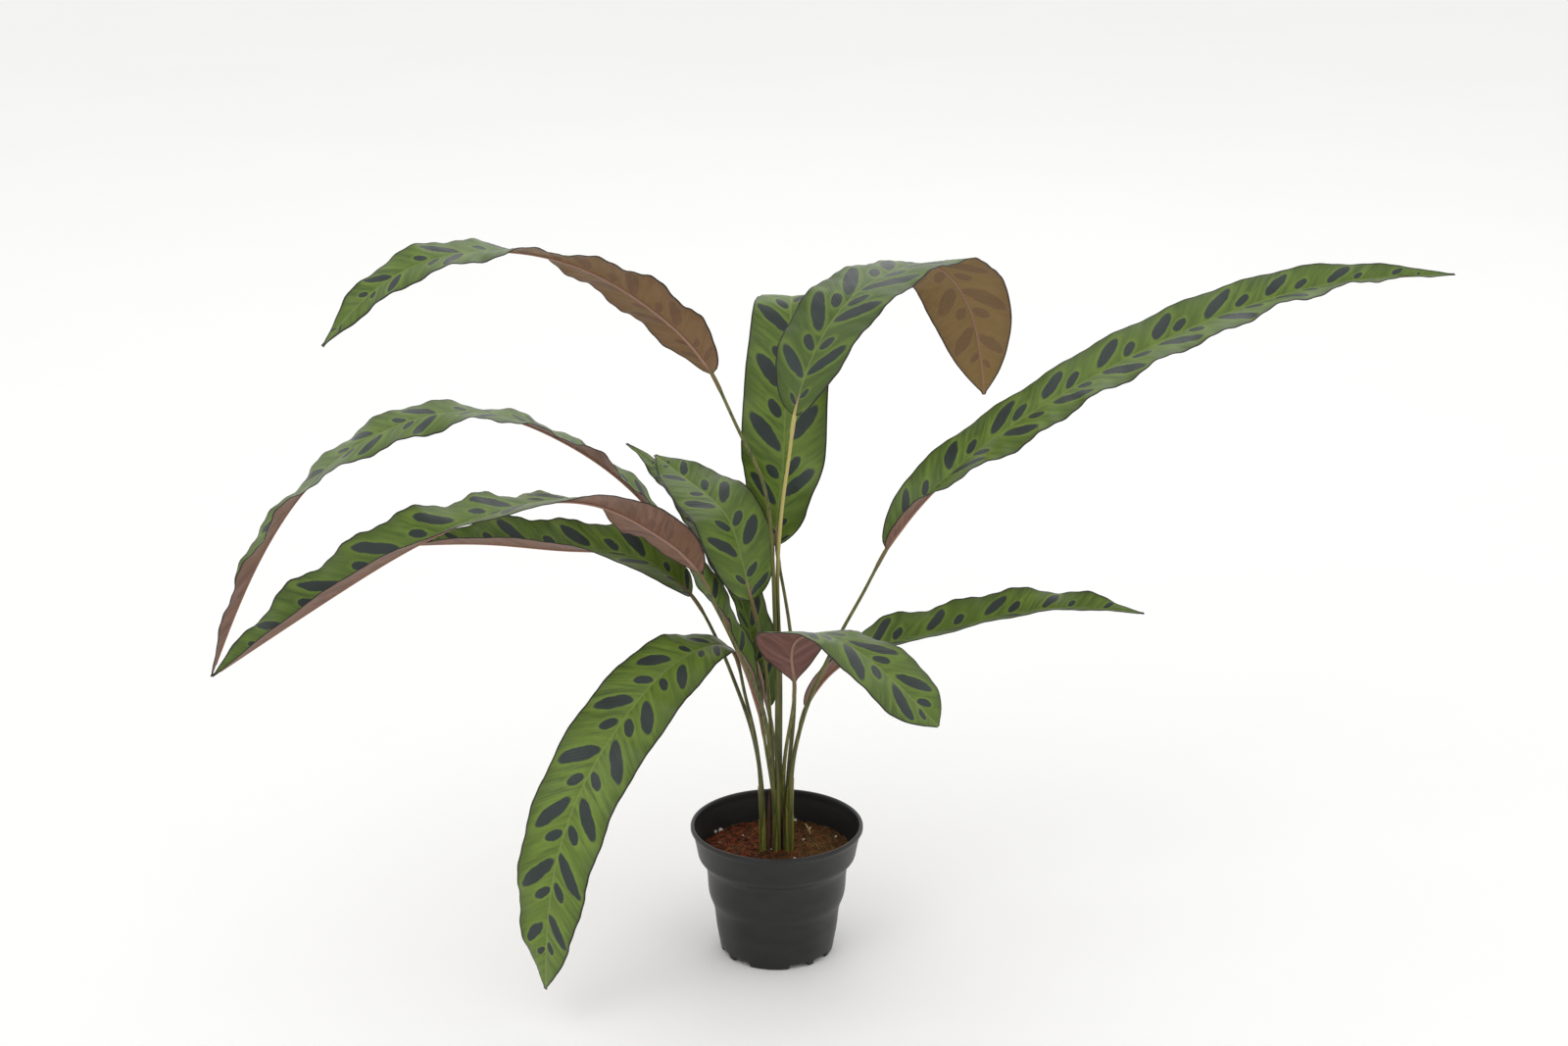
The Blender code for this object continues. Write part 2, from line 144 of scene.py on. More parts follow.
class SmoothCurve:
    """Natural cubic spline through rows of values, its parameter the length of the chords."""

    def __init__(self, points: tuple[Row, ...]) -> None:
        """Work out the spline.

        Args:
            points: rows whose first three values are a place, with any others carried along.
        """
        self.rows = np.array(points, float)
        self.chords = np.linalg.norm(np.diff(self.rows[:, :3], axis=0), axis=1)
        self.knots = np.concatenate([[0.0], np.cumsum(self.chords)])
        count = len(self.rows)
        matrix = np.zeros((count, count))
        right = np.zeros_like(self.rows)
        matrix[0, 0] = matrix[-1, -1] = 1.0
        for i in range(1, count - 1):
            before, after = self.chords[i - 1], self.chords[i]
            matrix[i, i - 1:i + 2] = before, 2.0 * (before + after), after
            slopes = (self.rows[i + 1] - self.rows[i]) / after - (self.rows[i] - self.rows[i - 1]) / before
            right[i] = 6.0 * slopes
        self.bends = np.linalg.solve(matrix, right)

    def read(self, parameter: np.ndarray) -> np.ndarray:
        """Read rows off the curve.

        Args:
            parameter: places along the chords.

        Returns:
            One row for each place.
        """
        last = len(self.rows) - 2
        k = np.clip(np.searchsorted(self.knots, parameter, side="right") - 1, 0, last)
        after = (self.knots[k + 1] - parameter)[:, None]
        before = (parameter - self.knots[k])[:, None]
        span = self.chords[k][:, None]
        bends = self.bends
        bent = (bends[k] * after**3 + bends[k + 1] * before**3) / (6.0 * span)
        return (bent + (self.rows[k] / span - bends[k] * span / 6.0) * after
                + (self.rows[k + 1] / span - bends[k + 1] * span / 6.0) * before)

    def even(self, start: float, end: float, step: float) -> np.ndarray:
        """Read rows about one step apart between two parameters.

        Args:
            start: first parameter.
            end: last parameter.
            step: distance between rows along the curve.

        Returns:
            The rows, from start to end.
        """
        fine = np.linspace(start, end, CURVE_SAMPLES)
        lengths = np.linalg.norm(np.diff(self.read(fine)[:, :3], axis=0), axis=1)
        travelled = np.concatenate([[0.0], np.cumsum(lengths)])
        count = max(4, round(travelled[-1] / step))
        return self.read(np.interp(np.linspace(0.0, travelled[-1], count + 1), travelled, fine))


def bend_grid(bm: bmesh.types.BMesh, points: np.ndarray) -> list[list[bmesh.types.BMVert]]:
    """Add a flat grid and bend it through a table of points.

    Args:
        bm: the mesh that gets the grid.
        points: places with the shape (rows, columns, 3).

    Returns:
        The grid's vertices by row and column.
    """
    last_row, last_column = points.shape[0] - 1, points.shape[1] - 1
    made = bmesh.ops.create_grid(bm, x_segments=last_row, y_segments=last_column, size=1.0)["verts"]
    table = [[None] * (last_column + 1) for _ in range(last_row + 1)]
    for vert in made:
        row = round((vert.co.x + 1.0) / 2.0 * last_row)
        column = round((vert.co.y + 1.0) / 2.0 * last_column)
        vert.co = Vector(points[row, column]) * MM
        table[row][column] = vert
    return table


def rings_along(centres: np.ndarray, radii: np.ndarray, sides: int) -> np.ndarray:
    """Work out a round tube that is closed at both ends.

    Args:
        centres: places along the tube, with the shape (rows, 3).
        radii: the tube's radius at each place.
        sides: faces round the tube.

    Returns:
        Places with the shape (rows + 2, sides + 1, 3): the seam and the end rows meet themselves.
    """
    tangents = unit(np.gradient(centres, axis=0))
    normal = np.cross(tangents[0], (0.0, 1.0, 0.0))
    if np.linalg.norm(normal) < 0.1:
        normal = np.cross(tangents[0], (1.0, 0.0, 0.0))
    turns = np.linspace(0.0, 2.0 * math.pi, sides + 1)
    rings = [np.tile(centres[0], (sides + 1, 1))]
    for centre, tangent, radius in zip(centres, tangents, radii):
        normal = unit(normal - np.dot(normal, tangent) * tangent)
        other = np.cross(tangent, normal)
        ring = np.outer(np.cos(turns), normal) + np.outer(np.sin(turns), other)
        ring[-1] = ring[0]
        rings.append(centre + radius * ring)
    rings.append(np.tile(centres[-1], (sides + 1, 1)))
    return np.array(rings)


def close_seams(bm: bmesh.types.BMesh) -> None:
    """Merge the points that meet and turn every face outwards."""
    bmesh.ops.remove_doubles(bm, verts=bm.verts[:], dist=MERGE_DISTANCE * MM)
    bmesh.ops.recalc_face_normals(bm, faces=bm.faces[:])


def add_piece(name: str, bm: bmesh.types.BMesh, materials: list[bpy.types.Material]) -> bpy.types.Object:
    """Turn a finished mesh into a piece that rides on the part's body.

    Args:
        name: the piece's name.
        bm: its mesh, which is freed.
        materials: its materials, in the order of its faces' numbers.

    Returns:
        The new object.
    """
    mesh = bpy.data.meshes.new(name)
    bm.to_mesh(mesh)
    bm.free()
    mesh.shade_smooth()
    for material in materials:
        mesh.materials.append(material)
    piece = bpy.data.objects.new(name, mesh)
    bpy.context.scene.collection.objects.link(piece)
    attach(piece, BODY)
    LOG.info("piece %s: %d faces", name, len(mesh.polygons))
    return piece


def add_wall(piece: bpy.types.Object, thickness: float, offset: float = -1.0,
             inner_material: int = 0) -> None:
    """Give a single sheet its thickness.

    Args:
        piece: the sheet.
        thickness: how thick it becomes.
        offset: -1 to grow below its faces and 1 to grow above them.
        inner_material: how many materials further on the far face's one is.
    """
    wall = piece.modifiers.new("wall", "SOLIDIFY")
    wall.thickness = thickness * MM
    wall.offset = offset
    wall.material_offset = inner_material


@dataclass(frozen=True)
class Finish:
    """What every finish has: a name, the shader's even values and its way to dress the shader."""

    name: str
    roughness: float
    specular: float = 0.5
    subsurface: float = 0.0

    def material(self) -> bpy.types.Material:
        """Make the material."""
        made = bpy.data.materials.new(self.name)
        made.use_nodes = True
        shader = made.node_tree.nodes["Principled BSDF"]
        shader.inputs["Roughness"].default_value = self.roughness
        shader.inputs["Specular IOR Level"].default_value = self.specular
        shader.inputs["Subsurface Weight"].default_value = self.subsurface
        shader.inputs["Subsurface Scale"].default_value = 1.0 * MM
        self.dress(made.node_tree, shader)
        return made

    def dress(self, tree: bpy.types.NodeTree, shader: bpy.types.Node) -> None:
        """Link the finish's own pattern to the shader."""
        raise NotImplementedError


@dataclass(frozen=True)
class BladePlace:
    """Sockets that say where on a blade a point is, all in millimetres but the share."""

    across: bpy.types.NodeSocket
    out: bpy.types.NodeSocket
    along: bpy.types.NodeSocket
    half: bpy.types.NodeSocket
    side: bpy.types.NodeSocket

    @classmethod
    def read(cls, tree: bpy.types.NodeTree) -> BladePlace:
        """Add the nodes that read a blade's own attribute.

        Args:
            tree: the material's node tree.

        Returns:
            The sockets: across and out from the midrib, along it, half the blade's width, and the side.
        """
        own = add_node(tree, "ShaderNodeAttribute", {"attribute_name": "blade"})
        parts = add_node(tree, "ShaderNodeSeparateXYZ", links={0: own.outputs["Vector"]})
        across, along, half = parts.outputs["X"], parts.outputs["Y"], parts.outputs["Z"]
        out = add_node(tree, "ShaderNodeMath", {"operation": "ABSOLUTE"}, {0: across})
        side = add_node(tree, "ShaderNodeMath", {"operation": "GREATER_THAN", 1: 0.0}, {0: across})
        return cls(across, out.outputs[0], along, half, side.outputs[0])


@dataclass(frozen=True)
class Blotches:
    """One size of blotch, repeated along both halves of a blade in a staggered row.

    Shares are of half the blade's width, so the blotches shrink towards the tip as the real ones do.
    """

    shift: float
    centre_share: float
    length_share: float
    width_share: float
    turn: float
    seed: float
    period: float = 41.0
    stagger: float = 5.0
    drift: float = 4.0
    wobble: float = 3.0
    wobble_size: float = 9.0
    softness: float = 0.10

    def distance(self, tree: bpy.types.NodeTree, place: BladePlace) -> bpy.types.NodeSocket:
        """Add the nodes of the row.

        Args:
            tree: the material's node tree.
            place: where on the blade a point is.

        Returns:
            A socket that is under one inside a blotch and grows outside it.
        """
        flat = add_node(tree, "ShaderNodeCombineXYZ", {2: self.seed}, {0: place.across, 1: place.along})
        ragged = add_node(tree, "ShaderNodeTexNoise", {"Scale": 1.0 / self.wobble_size, "Detail": 2.0},
                          {"Vector": flat.outputs[0]})
        push = add_node(tree, "ShaderNodeMath", {"operation": "MULTIPLY_ADD", 1: self.wobble,
                                                 2: self.shift - self.wobble / 2.0},
                        {0: ragged.outputs["Fac"]})
        shifted = add_node(tree, "ShaderNodeMath", {"operation": "MULTIPLY_ADD", 1: self.stagger},
                           {0: place.side, 2: push.outputs[0]})
        moved = add_node(tree, "ShaderNodeMath", {"operation": "ADD"},
                         {0: place.along, 1: shifted.outputs[0]})
        turns = add_node(tree, "ShaderNodeMath", {"operation": "DIVIDE", 1: self.period},
                         {0: moved.outputs[0]})
        cell = add_node(tree, "ShaderNodeMath", {"operation": "FLOOR"}, {0: turns.outputs[0]})
        inside = add_node(tree, "ShaderNodeMath", {"operation": "FRACT"}, {0: turns.outputs[0]})
        local = add_node(tree, "ShaderNodeMath", {"operation": "MULTIPLY_ADD", 1: self.period,
                                                  2: -self.period / 2.0}, {0: inside.outputs[0]})
        key = add_node(tree, "ShaderNodeCombineXYZ", {2: self.seed}, {0: cell.outputs[0], 1: place.side})
        chance = add_node(tree, "ShaderNodeTexWhiteNoise", {"noise_dimensions": "3D"},
                          {"Vector": key.outputs[0]})
        chances = add_node(tree, "ShaderNodeSeparateXYZ", links={0: chance.outputs["Color"]})
        drifted = add_node(tree, "ShaderNodeMath", {"operation": "MULTIPLY_ADD", 1: self.drift},
                           {0: chances.outputs["X"], 2: local.outputs[0]})
        centre = add_node(tree, "ShaderNodeMath", {"operation": "MULTIPLY", 1: -self.centre_share},
                          {0: place.half})
        reach = add_node(tree, "ShaderNodeMath", {"operation": "ADD"}, {0: place.out, 1: centre.outputs[0]})
        spot = add_node(tree, "ShaderNodeCombineXYZ", links={0: reach.outputs[0], 1: drifted.outputs[0]})
        angle = add_node(tree, "ShaderNodeMath", {"operation": "MULTIPLY_ADD", 1: -0.3,
                                                  2: -math.radians(self.turn)},
                         {0: chances.outputs["Y"]})
        turned = add_node(tree, "ShaderNodeVectorRotate", {"rotation_type": "Z_AXIS"},
                          {"Vector": spot.outputs[0], "Angle": angle.outputs[0]})
        grown = add_node(tree, "ShaderNodeMath", {"operation": "MULTIPLY_ADD", 1: self.length_share * 0.35,
                                                  2: self.length_share * 0.82}, {0: chances.outputs["Z"]})
        length = add_node(tree, "ShaderNodeMath", {"operation": "MULTIPLY"},
                          {0: grown.outputs[0], 1: place.half})
        width = add_node(tree, "ShaderNodeMath", {"operation": "MULTIPLY", 1: self.width_share},
                         {0: place.half})
        size = add_node(tree, "ShaderNodeCombineXYZ", {2: 1.0}, {0: length.outputs[0], 1: width.outputs[0]})
        scaled = add_node(tree, "ShaderNodeVectorMath", {"operation": "DIVIDE"},
                          {0: turned.outputs[0], 1: size.outputs[0]})
        away = add_node(tree, "ShaderNodeVectorMath", {"operation": "LENGTH"}, {0: scaled.outputs[0]})
        return away.outputs["Value"]


LARGE_BLOTCHES = Blotches(shift=0.0, centre_share=0.45, length_share=0.56, width_share=0.165, turn=42.0,
                          seed=1.0, wobble=4.0)
SMALL_BLOTCHES = Blotches(shift=-14.0, centre_share=0.24, length_share=0.25, width_share=0.12, turn=42.0,
                          seed=2.0, wobble=2.4, wobble_size=5.0)


@dataclass(frozen=True)
class BladeFinish(Finish):
    """Living blade tissue: veined, blotched, with a dark margin, a pale midrib line, painted blotch sheen and
    painted edge shade.
    """

    deep: str = "#455a20"
    light: str = "#6d8530"
    tint: str = "#5c7228"
    blotch: str = "#1b241f"
    # Painted sheen: the paler grey-blue blotch colour that slow noise mixes in.
    blotch_painted_sheen: str = "#3a4340"
    halo: str = "#7b9338"
    # Painted shade: the green turns toward this darker colour near the margins.
    edge: str = "#35421f"
    margin: str = "#1f1c19"
    midrib: str = "#7c8c48"
    own_colour: str = "#36491b"
    own_channel: str = "Y"
    own_share: float = 0.75
    blotch_strength: float = 1.0
    halo_strength: float = 0.4
    midrib_strength: float = 0.5
    edge_shade_strength: float = 0.5
    vein_slope: float = 0.78
    vein_spacing: float = 2.6
    margin_width: float = 1.0
    streak_size: Span = (4.0, 26.0)
    patch_size: float = 48.0
    vein_depth: float = 0.10

    def dress(self, tree: bpy.types.NodeTree, shader: bpy.types.Node) -> None:
        """Link the leaf's pattern to the shader.

        Args:
            tree: the material's node tree.
            shader: its Principled node.
        """
        place = BladePlace.read(tree)
        vein = add_node(tree, "ShaderNodeMath", {"operation": "MULTIPLY_ADD", 1: -self.vein_slope},
                        {0: place.out, 2: place.along})
        streak_at = add_node(tree, "ShaderNodeCombineXYZ", links={0: vein.outputs[0], 1: place.out,
                                                                  2: place.side})
        streak_scale = (1.0 / self.streak_size[0], 1.0 / self.streak_size[1], 9.0)
        stretched = add_node(tree, "ShaderNodeVectorMath", {"operation": "MULTIPLY", 1: streak_scale},
                             {0: streak_at.outputs[0]})
        streak = add_node(tree, "ShaderNodeTexNoise", {"Scale": 1.0, "Detail": 3.0, "Roughness": 0.6},
                          {"Vector": stretched.outputs[0]})
        flat = add_node(tree, "ShaderNodeCombineXYZ", links={0: place.across, 1: place.along})
        patch = add_node(tree, "ShaderNodeTexNoise", {"Scale": 1.0 / self.patch_size, "Detail": 2.0},
                         {"Vector": flat.outputs[0]})
        streaked = add_node(tree, "ShaderNodeMapRange", {"From Min": 0.36, "From Max": 0.66},
                            {"Value": streak.outputs["Fac"]})
        patched = add_node(tree, "ShaderNodeMapRange", {"From Min": 0.38, "From Max": 0.62, "To Max": 0.75},
                           {"Value": patch.outputs["Fac"]})
        green = add_node(tree, "ShaderNodeMix", {"data_type": "RGBA", MIX_FIRST: linear(self.deep),
                                                 MIX_SECOND: linear(self.light)},
                         {MIX_FACTOR: streaked.outputs[0]})
        tinted = add_node(tree, "ShaderNodeMix", {"data_type": "RGBA", MIX_SECOND: linear(self.tint)},
                          {MIX_FACTOR: patched.outputs[0], MIX_FIRST: green.outputs[MIX_RESULT]})
        tone = add_node(tree, "ShaderNodeAttribute", {"attribute_name": "tone"})
        tones = add_node(tree, "ShaderNodeSeparateXYZ", links={0: tone.outputs["Vector"]})
        own_share = add_node(tree, "ShaderNodeMath", {"operation": "MULTIPLY", 1: self.own_share},
                             {0: tones.outputs[self.own_channel]})
        own = add_node(tree, "ShaderNodeMix", {"data_type": "RGBA", MIX_SECOND: linear(self.own_colour)},
                       {MIX_FACTOR: own_share.outputs[0], MIX_FIRST: tinted.outputs[MIX_RESULT]})
        share = add_node(tree, "ShaderNodeMath", {"operation": "DIVIDE"}, {0: place.out, 1: place.half})
        # Painted shade: the colour darkens over the outer share of each half, toward the margin.
        painted_margin_shade = add_node(tree, "ShaderNodeMapRange", {"From Min": 0.62, "From Max": 1.0,
                                                        "To Max": self.edge_shade_strength},
                           {"Value": share.outputs[0]})
        edged = add_node(tree, "ShaderNodeMix", {"data_type": "RGBA", MIX_SECOND: linear(self.edge)},
                         {MIX_FACTOR: painted_margin_shade.outputs[0], MIX_FIRST: own.outputs[MIX_RESULT]})
        colour = self.add_blotches(tree, place, patch.outputs["Fac"], edged.outputs[MIX_RESULT])
        colour = self.add_lines(tree, place, colour)
        tree.links.new(colour, shader.inputs["Base Color"])
        self.add_relief(tree, shader, vein.outputs[0], streak.outputs["Fac"])

    def add_blotches(self, tree: bpy.types.NodeTree, place: BladePlace, patch: bpy.types.NodeSocket,
                     colour: bpy.types.NodeSocket) -> bpy.types.NodeSocket:
        """Add both sizes of blotch, each in a paler ring and greyed in patches by painted sheen, over the
        blade's colour.

        Args:
            tree: the material's node tree.
            place: where on the blade a point is.
            patch: slow noise that spreads the painted grey sheen over the blotches.
            colour: the blade's colour.

        Returns:
            The colour with its blotches.
        """
        large = LARGE_BLOTCHES.distance(tree, place)
        small = SMALL_BLOTCHES.distance(tree, place)
        nearest = add_node(tree, "ShaderNodeMath", {"operation": "MINIMUM"}, {0: large, 1: small})
        soft = LARGE_BLOTCHES.softness
        inside = add_node(tree, "ShaderNodeMapRange", {"interpolation_type": "SMOOTHSTEP",
                                                       "From Min": 1.0 - soft, "From Max": 1.0 + soft,
                                                       "To Min": self.blotch_strength, "To Max": 0.0},
                          {"Value": nearest.outputs[0]})
        ring = add_node(tree, "ShaderNodeMapRange", {"From Min": 1.0, "From Max": 1.7,
                                                     "To Min": self.halo_strength, "To Max": 0.0},
                        {"Value": nearest.outputs[0]})
        haloed = add_node(tree, "ShaderNodeMix", {"data_type": "RGBA", MIX_SECOND: linear(self.halo)},
                          {MIX_FACTOR: ring.outputs[0], MIX_FIRST: colour})
        # Painted sheen: where the slow noise is high the blotches turn paler grey.
        shade = add_node(tree, "ShaderNodeMix", {"data_type": "RGBA", MIX_FIRST: linear(self.blotch),
                                                 MIX_SECOND: linear(self.blotch_painted_sheen)},
                         {MIX_FACTOR: patch})
        blotched = add_node(tree, "ShaderNodeMix", {"data_type": "RGBA"},
                            {MIX_FACTOR: inside.outputs[0], MIX_FIRST: haloed.outputs[MIX_RESULT],
                             MIX_SECOND: shade.outputs[MIX_RESULT]})
        return blotched.outputs[MIX_RESULT]

    def add_lines(self, tree: bpy.types.NodeTree, place: BladePlace,
                  colour: bpy.types.NodeSocket) -> bpy.types.NodeSocket:
        """Add the pale midrib line and the dark margin.

        Args:
            tree: the material's node tree.
            place: where on the blade a point is.
            colour: the blade's colour.

        Returns:
            The colour with its lines.
        """
        on_midrib = add_node(tree, "ShaderNodeMapRange", {"From Min": 0.3, "From Max": 0.9,
                                                          "To Min": self.midrib_strength, "To Max": 0.0},
                             {"Value": place.out})
        lined = add_node(tree, "ShaderNodeMix", {"data_type": "RGBA", MIX_SECOND: linear(self.midrib)},
                         {MIX_FACTOR: on_midrib.outputs[0], MIX_FIRST: colour})
        inward = add_node(tree, "ShaderNodeMath", {"operation": "SUBTRACT"}, {0: place.half, 1: place.out})
        on_margin = add_node(tree, "ShaderNodeMapRange", {"From Min": self.margin_width * 0.6,
                                                          "From Max": self.margin_width * 1.5,
                                                          "To Min": 1.0, "To Max": 0.0},
                             {"Value": inward.outputs[0]})
        edged = add_node(tree, "ShaderNodeMix", {"data_type": "RGBA", MIX_SECOND: linear(self.margin)},
                         {MIX_FACTOR: on_margin.outputs[0], MIX_FIRST: lined.outputs[MIX_RESULT]})
        return edged.outputs[MIX_RESULT]

    def add_relief(self, tree: bpy.types.NodeTree, shader: bpy.types.Node, vein: bpy.types.NodeSocket,
                   streak: bpy.types.NodeSocket) -> None:
        """Raise the side veins a little and let the gloss follow the streaks.

        Args:
            tree: the material's node tree.
            shader: its Principled node.
            vein: distance along the midrib, slanted so that it is even along each side vein.
            streak: noise drawn out along the veins.
        """
        ridges = add_node(tree, "ShaderNodeMath", {"operation": "PINGPONG", 1: self.vein_spacing / 2.0},
                          {0: vein})
        height = add_node(tree, "ShaderNodeMath", {"operation": "ADD"}, {0: ridges.outputs[0], 1: streak})
        bump = add_node(tree, "ShaderNodeBump", {"Strength": 0.6, "Distance": self.vein_depth * MM},
                        {"Height": height.outputs[0]})
        tree.links.new(bump.outputs[0], shader.inputs["Normal"])
        gloss = add_node(tree, "ShaderNodeMapRange", {"To Min": self.roughness - 0.08,
                                                      "To Max": self.roughness + 0.10},
                         {"Value": streak})
        tree.links.new(gloss.outputs[0], shader.inputs["Roughness"])


# Waxy upper leaf skin, grown: satin, so it goes grey where it is seen edge on, yellow-green between blotches.
UPPER_SKIN = BladeFinish("waxy_leaf_upper_skin", roughness=0.36, specular=0.3)

# Matt lower leaf skin, grown: brown-mauve to ochre, the blotches showing through as faint shadows.
LOWER_SKIN = BladeFinish("matt_leaf_lower_skin", roughness=0.55, specular=0.25, deep="#60413a",
                         # Painted sheen in the paler blotch colour, as on the upper skin.
                         light="#85605a", tint="#755445", blotch="#4c332e", blotch_painted_sheen="#5c3f38",
                         # Painted shade toward the margins in the edge colour, as on the upper skin.
                         halo="#8a6a5a", edge="#5a4034", margin="#332621", midrib="#94705c",
                         own_colour="#86703c", own_channel="X", own_share=0.9, blotch_strength=0.4,
                         halo_strength=0.1, midrib_strength=0.5, edge_shade_strength=0.3)


@dataclass(frozen=True)
class StalkFinish(Finish):
    """Smooth leaf stalk: olive, browner at the joint, pinkish where it runs under the blade as its rib."""

    low: str = "#666428"
    high: str = "#77743a"
    shade: str = "#3a401c"
    pale: str = "#b5a762"
    joint: str = "#6b5a34"
    rib: str = "#94705f"
    joint_length: float = 13.0
    streak_size: Span = (1.4, 22.0)

    def dress(self, tree: bpy.types.NodeTree, shader: bpy.types.Node) -> None:
        """Link the stalk's colours to the shader.

        Args:
            tree: the material's node tree.
            shader: its Principled node.
        """
        own = add_node(tree, "ShaderNodeAttribute", {"attribute_name": "stalk"})
        parts = add_node(tree, "ShaderNodeSeparateXYZ", links={0: own.outputs["Vector"]})
        past_base, share, leaf = parts.outputs["X"], parts.outputs["Y"], parts.outputs["Z"]
        spot = add_node(tree, "ShaderNodeTexCoord")
        across, along = self.streak_size
        drawn = add_node(tree, "ShaderNodeMapping", {"Scale": (1.0 / across / MM, 1.0 / across / MM,
                                                               1.0 / along / MM)},
                         {"Vector": spot.outputs["Object"]})
        streak = add_node(tree, "ShaderNodeTexNoise", {"Scale": 1.0, "Detail": 3.0},
                          {"Vector": drawn.outputs[0]})
        streaked = add_node(tree, "ShaderNodeMapRange", {"From Min": 0.40, "From Max": 0.68, "To Max": 0.75},
                            {"Value": streak.outputs["Fac"]})
        pale = add_node(tree, "ShaderNodeMix", {"data_type": "RGBA", MIX_FIRST: linear(self.low),
                                                MIX_SECOND: linear(self.high)}, {MIX_FACTOR: share})
        own_shade = add_node(tree, "ShaderNodeTexWhiteNoise", {"noise_dimensions": "1D"}, {"W": leaf})
        darker = add_node(tree, "ShaderNodeMath", {"operation": "MULTIPLY_ADD", 1: 0.45},
                          {0: own_shade.outputs["Value"], 2: streaked.outputs[0]})
        shaded = add_node(tree, "ShaderNodeMix", {"data_type": "RGBA", MIX_SECOND: linear(self.shade)},
                          {MIX_FACTOR: darker.outputs[0], MIX_FIRST: pale.outputs[MIX_RESULT]})
        tone = add_node(tree, "ShaderNodeAttribute", {"attribute_name": "tone"})
        tones = add_node(tree, "ShaderNodeSeparateXYZ", links={0: tone.outputs["Vector"]})
        pale_share = tones.outputs["X"]
        upward = add_node(tree, "ShaderNodeMapRange", {"From Min": 0.62, "From Max": 0.76},
                          {"Value": share, "To Max": pale_share})
        paled = add_node(tree, "ShaderNodeMix", {"data_type": "RGBA", MIX_SECOND: linear(self.pale)},
                         {MIX_FACTOR: upward.outputs[0], MIX_FIRST: shaded.outputs[MIX_RESULT]})
        on_joint = add_node(tree, "ShaderNodeMapRange", {"From Min": -self.joint_length - 2.0,
                                                         "From Max": -self.joint_length + 1.0,
                                                         "To Max": 0.8}, {"Value": past_base})
        unpaled = add_node(tree, "ShaderNodeMath", {"operation": "SUBTRACT", "use_clamp": True},
                           {0: on_joint.outputs[0], 1: pale_share})
        jointed = add_node(tree, "ShaderNodeMix", {"data_type": "RGBA", MIX_SECOND: linear(self.joint)},
                           {MIX_FACTOR: unpaled.outputs[0], MIX_FIRST: paled.outputs[MIX_RESULT]})
        on_rib = add_node(tree, "ShaderNodeMapRange", {"From Min": 0.0, "From Max": 12.0},
                          {"Value": past_base})
        ribbed = add_node(tree, "ShaderNodeMix", {"data_type": "RGBA", MIX_SECOND: linear(self.rib)},
                          {MIX_FACTOR: on_rib.outputs[0], MIX_FIRST: jointed.outputs[MIX_RESULT]})
        tree.links.new(ribbed.outputs[MIX_RESULT], shader.inputs["Base Color"])
        bump = add_node(tree, "ShaderNodeBump", {"Strength": 0.5, "Distance": 0.12 * MM},
                        {"Height": streak.outputs["Fac"]})
        tree.links.new(bump.outputs[0], shader.inputs["Normal"])


# Living leaf stalk, grown: smooth and slightly glossy, olive-yellow with darker green streaks along it.
STALK = StalkFinish("smooth_leaf_stalk", roughness=0.45, specular=0.45)


@dataclass(frozen=True)
class SpeckledFinish(Finish):
    """Two colours mixed by noise of one size and darkened by finer noise, with its relief.

    A third colour can come in from the part's left to its right, within the reach from its middle.
    """

    dark: str = "#000000"
    light: str = "#ffffff"
    deep: str = "#000000"
    grain: tuple[float, float, float] = (3.0, 3.0, 3.0)
    fine_grain: float = 0.8
    contrast: Span = (0.38, 0.64)
    deep_share: float = 0.6
    relief: float = 0.2
    right: str = "#000000"
    right_share: float = 0.0
    right_reach: float = 30.0

    def dress(self, tree: bpy.types.NodeTree, shader: bpy.types.Node) -> None:
        """Link the speckle to the shader.

        Args:
            tree: the material's node tree.
            shader: its Principled node.
        """
        spot = add_node(tree, "ShaderNodeTexCoord")
        scale = tuple(1.0 / size / MM for size in self.grain)
        sized = add_node(tree, "ShaderNodeMapping", {"Scale": scale}, {"Vector": spot.outputs["Object"]})
        coarse = add_node(tree, "ShaderNodeTexNoise", {"Scale": 1.0, "Detail": 4.0, "Roughness": 0.6},
                          {"Vector": sized.outputs[0]})
        fine = add_node(tree, "ShaderNodeTexNoise", {"Scale": 1.0 / self.fine_grain / MM, "Detail": 2.0},
                        {"Vector": spot.outputs["Object"]})
        mixed = add_node(tree, "ShaderNodeMapRange", {"From Min": self.contrast[0],
                                                      "From Max": self.contrast[1]},
                         {"Value": coarse.outputs["Fac"]})
        base = add_node(tree, "ShaderNodeMix", {"data_type": "RGBA", MIX_FIRST: linear(self.dark),
                                                MIX_SECOND: linear(self.light)},
                        {MIX_FACTOR: mixed.outputs[0]})
        pitted = add_node(tree, "ShaderNodeMapRange", {"From Min": 0.52, "From Max": 0.72,
                                                       "To Max": self.deep_share},
                          {"Value": fine.outputs["Fac"]})
        parts = add_node(tree, "ShaderNodeSeparateXYZ", links={0: spot.outputs["Object"]})
        rightward = add_node(tree, "ShaderNodeMapRange", {"From Min": -self.right_reach * MM,
                                                          "From Max": self.right_reach * MM,
                                                          "To Max": self.right_share},
                             {"Value": parts.outputs["X"]})
        sided = add_node(tree, "ShaderNodeMix", {"data_type": "RGBA", MIX_SECOND: linear(self.right)},
                         {MIX_FACTOR: rightward.outputs[0], MIX_FIRST: base.outputs[MIX_RESULT]})
        pits = add_node(tree, "ShaderNodeMix", {"data_type": "RGBA", MIX_SECOND: linear(self.deep)},
                        {MIX_FACTOR: pitted.outputs[0], MIX_FIRST: sided.outputs[MIX_RESULT]})
        tree.links.new(pits.outputs[MIX_RESULT], shader.inputs["Base Color"])
        bump = add_node(tree, "ShaderNodeBump", {"Strength": 0.7, "Distance": self.relief * MM},
                        {"Height": fine.outputs["Fac"]})
        tree.links.new(bump.outputs[0], shader.inputs["Normal"])


